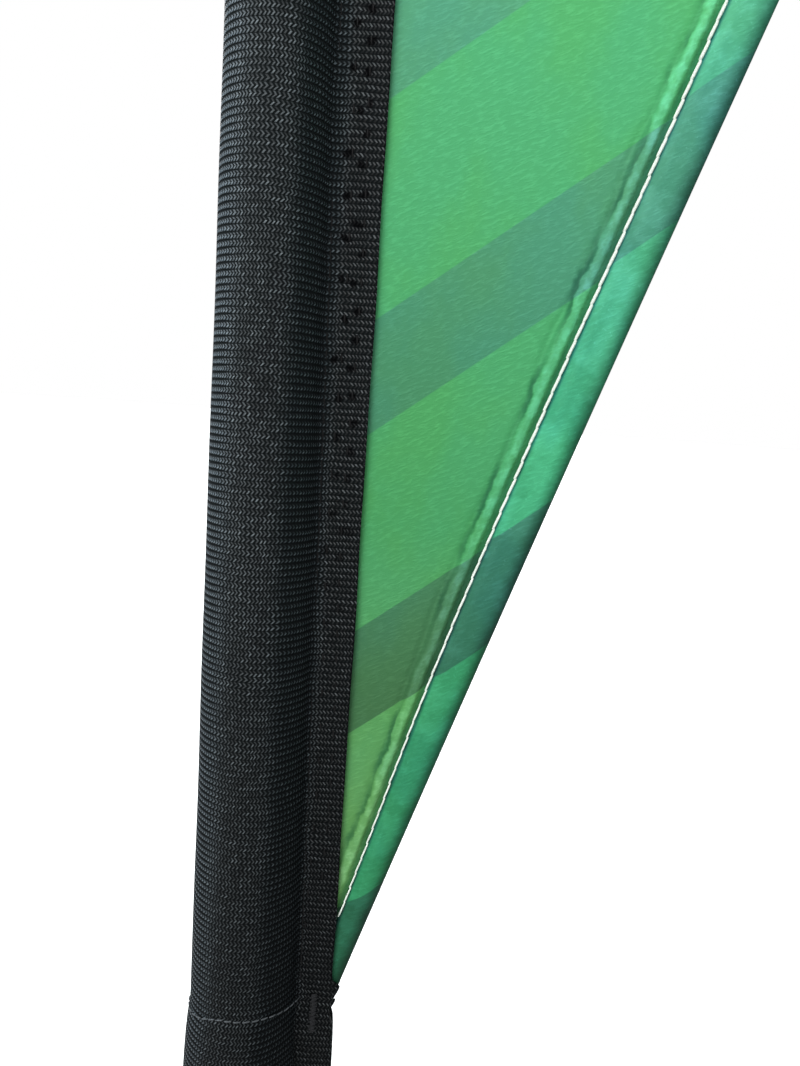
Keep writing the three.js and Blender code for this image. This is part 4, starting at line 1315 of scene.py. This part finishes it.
@dataclass
class Studio:
    """Camera, soft light and a pale floor."""

    tip: float
    lens: float = 27.05
    sensor: float = 36.0
    camera_spot: tuple = (29.5 * MM, -176 * MM, 137.7 * MM)
    roll: float = math.radians(4.08)
    pitch: float = math.radians(8.75)

    def build(self) -> None:
        """Build everything that isn't part of the object."""
        self.build_camera()
        self.build_world()
        self.build_lights()
        self.build_floor()
        bpy.context.scene.view_settings.view_transform = "Standard"

    def build_camera(self) -> None:
        """Place the camera in front of the flag's lower tip, looking a little down."""
        data = bpy.data.cameras.new("camera")
        data.lens = self.lens
        data.sensor_width = self.sensor
        data.clip_start = 0.01
        camera = add_object("camera", data)
        right = Vector((math.cos(self.roll), 0.0, math.sin(self.roll)))
        ahead = Vector((math.sin(self.roll) * math.sin(self.pitch), math.cos(self.pitch),
                        -math.cos(self.roll) * math.sin(self.pitch)))
        up = right.cross(ahead)
        turn = Matrix((right, up, -ahead)).transposed().to_4x4()
        x, y, z = self.camera_spot
        camera.matrix_world = Matrix.Translation((x, y, self.tip + z)) @ turn
        bpy.context.scene.camera = camera

    def build_world(self) -> None:
        """White backdrop, and a sky that is brighter above and to the left."""
        world = bpy.data.worlds.new("studio")
        bpy.context.scene.world = world
        world.use_nodes = True
        tree = world.node_tree
        tree.nodes.clear()
        add = tree.nodes.new
        link = tree.links.new
        axes = add("ShaderNodeSeparateXYZ")
        link(add("ShaderNodeTexCoord").outputs["Generated"], axes.inputs[0])
        up = add("ShaderNodeMapRange")
        left = add("ShaderNodeMapRange")
        for node, axis, numbers in ((up, 2, (-0.3, 1.0, 0.10, 0.62)), (left, 0, (0.2, -1.0, 0.0, 0.35))):
            link(axes.outputs[axis], node.inputs[0])
            for socket, number in zip(list(node.inputs)[1:5], numbers):
                socket.default_value = number
        total = add("ShaderNodeMath")
        link(up.outputs[0], total.inputs[0])
        link(left.outputs[0], total.inputs[1])
        light = add("ShaderNodeBackground")
        light.inputs["Color"].default_value = (0.92, 0.965, 1.0, 1)
        link(total.outputs[0], light.inputs["Strength"])
        seen = add("ShaderNodeBackground")
        seen.inputs["Color"].default_value = (1, 1, 1, 1)
        mix = add("ShaderNodeMixShader")
        link(add("ShaderNodeLightPath").outputs["Is Camera Ray"], mix.inputs[0])
        link(light.outputs[0], mix.inputs[1])
        link(seen.outputs[0], mix.inputs[2])
        link(mix.outputs[0], add("ShaderNodeOutputWorld").inputs[0])

    def build_lights(self) -> None:
        """Soft suns: from the front left and above, the left, weakly from the right, and from behind."""
        suns = (
            ("key", (0.45, 0.80, -0.55), 2.75, 45.0, (1.0, 1.0, 1.0)),
            ("rim", (1.0, -0.10, -0.55), 2.6, 25.0, (0.86, 0.94, 1.0)),
            ("fill", (-0.6, 0.8, -0.3), 0.35, 70.0, (1.0, 1.0, 1.0)),
            ("behind", (0.15, -0.85, -0.55), 2.2, 45.0, (1.0, 1.0, 1.0)),
        )
        for name, direction, strength, angle, colour in suns:
            data = bpy.data.lights.new(name, "SUN")
            data.energy = strength
            data.angle = math.radians(angle)
            data.color = colour
            lamp = add_object(name, data)
            lamp.rotation_mode = "QUATERNION"
            lamp.rotation_quaternion = Vector(direction).to_track_quat("-Z", "Y")

    def build_floor(self) -> None:
        """Round pale floor under the base, bright enough to run into the backdrop."""
        angle = around(64)
        reach = np.array([0.0001, 3.0, 9.0, 40.0])[:, None]
        points = joined(reach * np.cos(angle), reach * np.sin(angle), -0.4 * MM)
        floor = make_piece("floor", points, grid_faces(len(reach), len(angle), True))
        if floor.data.polygons[0].normal.z < 0:
            floor.data.flip_normals()
        g = Graph("pale_floor")
        seen = g.node("ShaderNodeLightPath").outputs["Is Camera Ray"]
        pale = g.mix(seen, (0.42, 0.42, 0.42, 1), (0.92, 0.92, 0.92, 1))
        floor.data.materials.append(g.finish(
            Base_Color=pale, Roughness=0.9,
            Emission_Color=(1, 1, 1, 1), Emission_Strength=g.times(seen, 0.24),
        ))


def corners(box: tuple) -> list:
    """Turn a box's two corners into plain lists."""
    return [[float(x) for x in corner] for corner in box]


def main() -> None:
    """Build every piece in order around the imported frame."""
    logging.basicConfig(level=logging.INFO, format="%(message)s")
    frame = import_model()
    tip = float(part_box("trailing_hem")[0].z)
    Studio(tip).build()
    line = PoleLine(float(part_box("rod_bush")[1].z) + BEND_ABOVE_BUSH)
    corner = line.end - CORNER_BELOW_END
    x, z, heading = line.at(np.array(corner))
    spot = (float(x + CORNER_INSIDE * np.cos(heading)), float(z - CORNER_INSIDE * np.sin(heading)))
    cloth = Cloth(line, tip, corner, spot)
    weave = WovenBlack().material()
    black = Spun("black_thread", linear(13, 14, 15), linear(5, 5, 6)).material()
    cloth.build_sleeve(weave)
    cloth.build_cuff(weave)
    cloth.build_pocket(weave)
    cloth.build_panel(PrintedCloth("printed_panel", tip).material())
    cloth.build_hem(printed_hem(tip).material())
    cloth.build_hem_thread(Spun("white_thread", linear(240, 244, 236), linear(200, 210, 198)).material())
    tack = Spun("tack_thread", linear(32, 33, 35), linear(10, 11, 12)).material()
    cloth.build_cuff_seams(Spun("seam_thread", linear(92, 96, 99), linear(50, 54, 56)).material(), tack)
    cloth.build_band_threads(black)
    Strap().build()
    Hardware(frame["nodes"], frame["record"]).build()


if __name__ == "__main__":
    main()
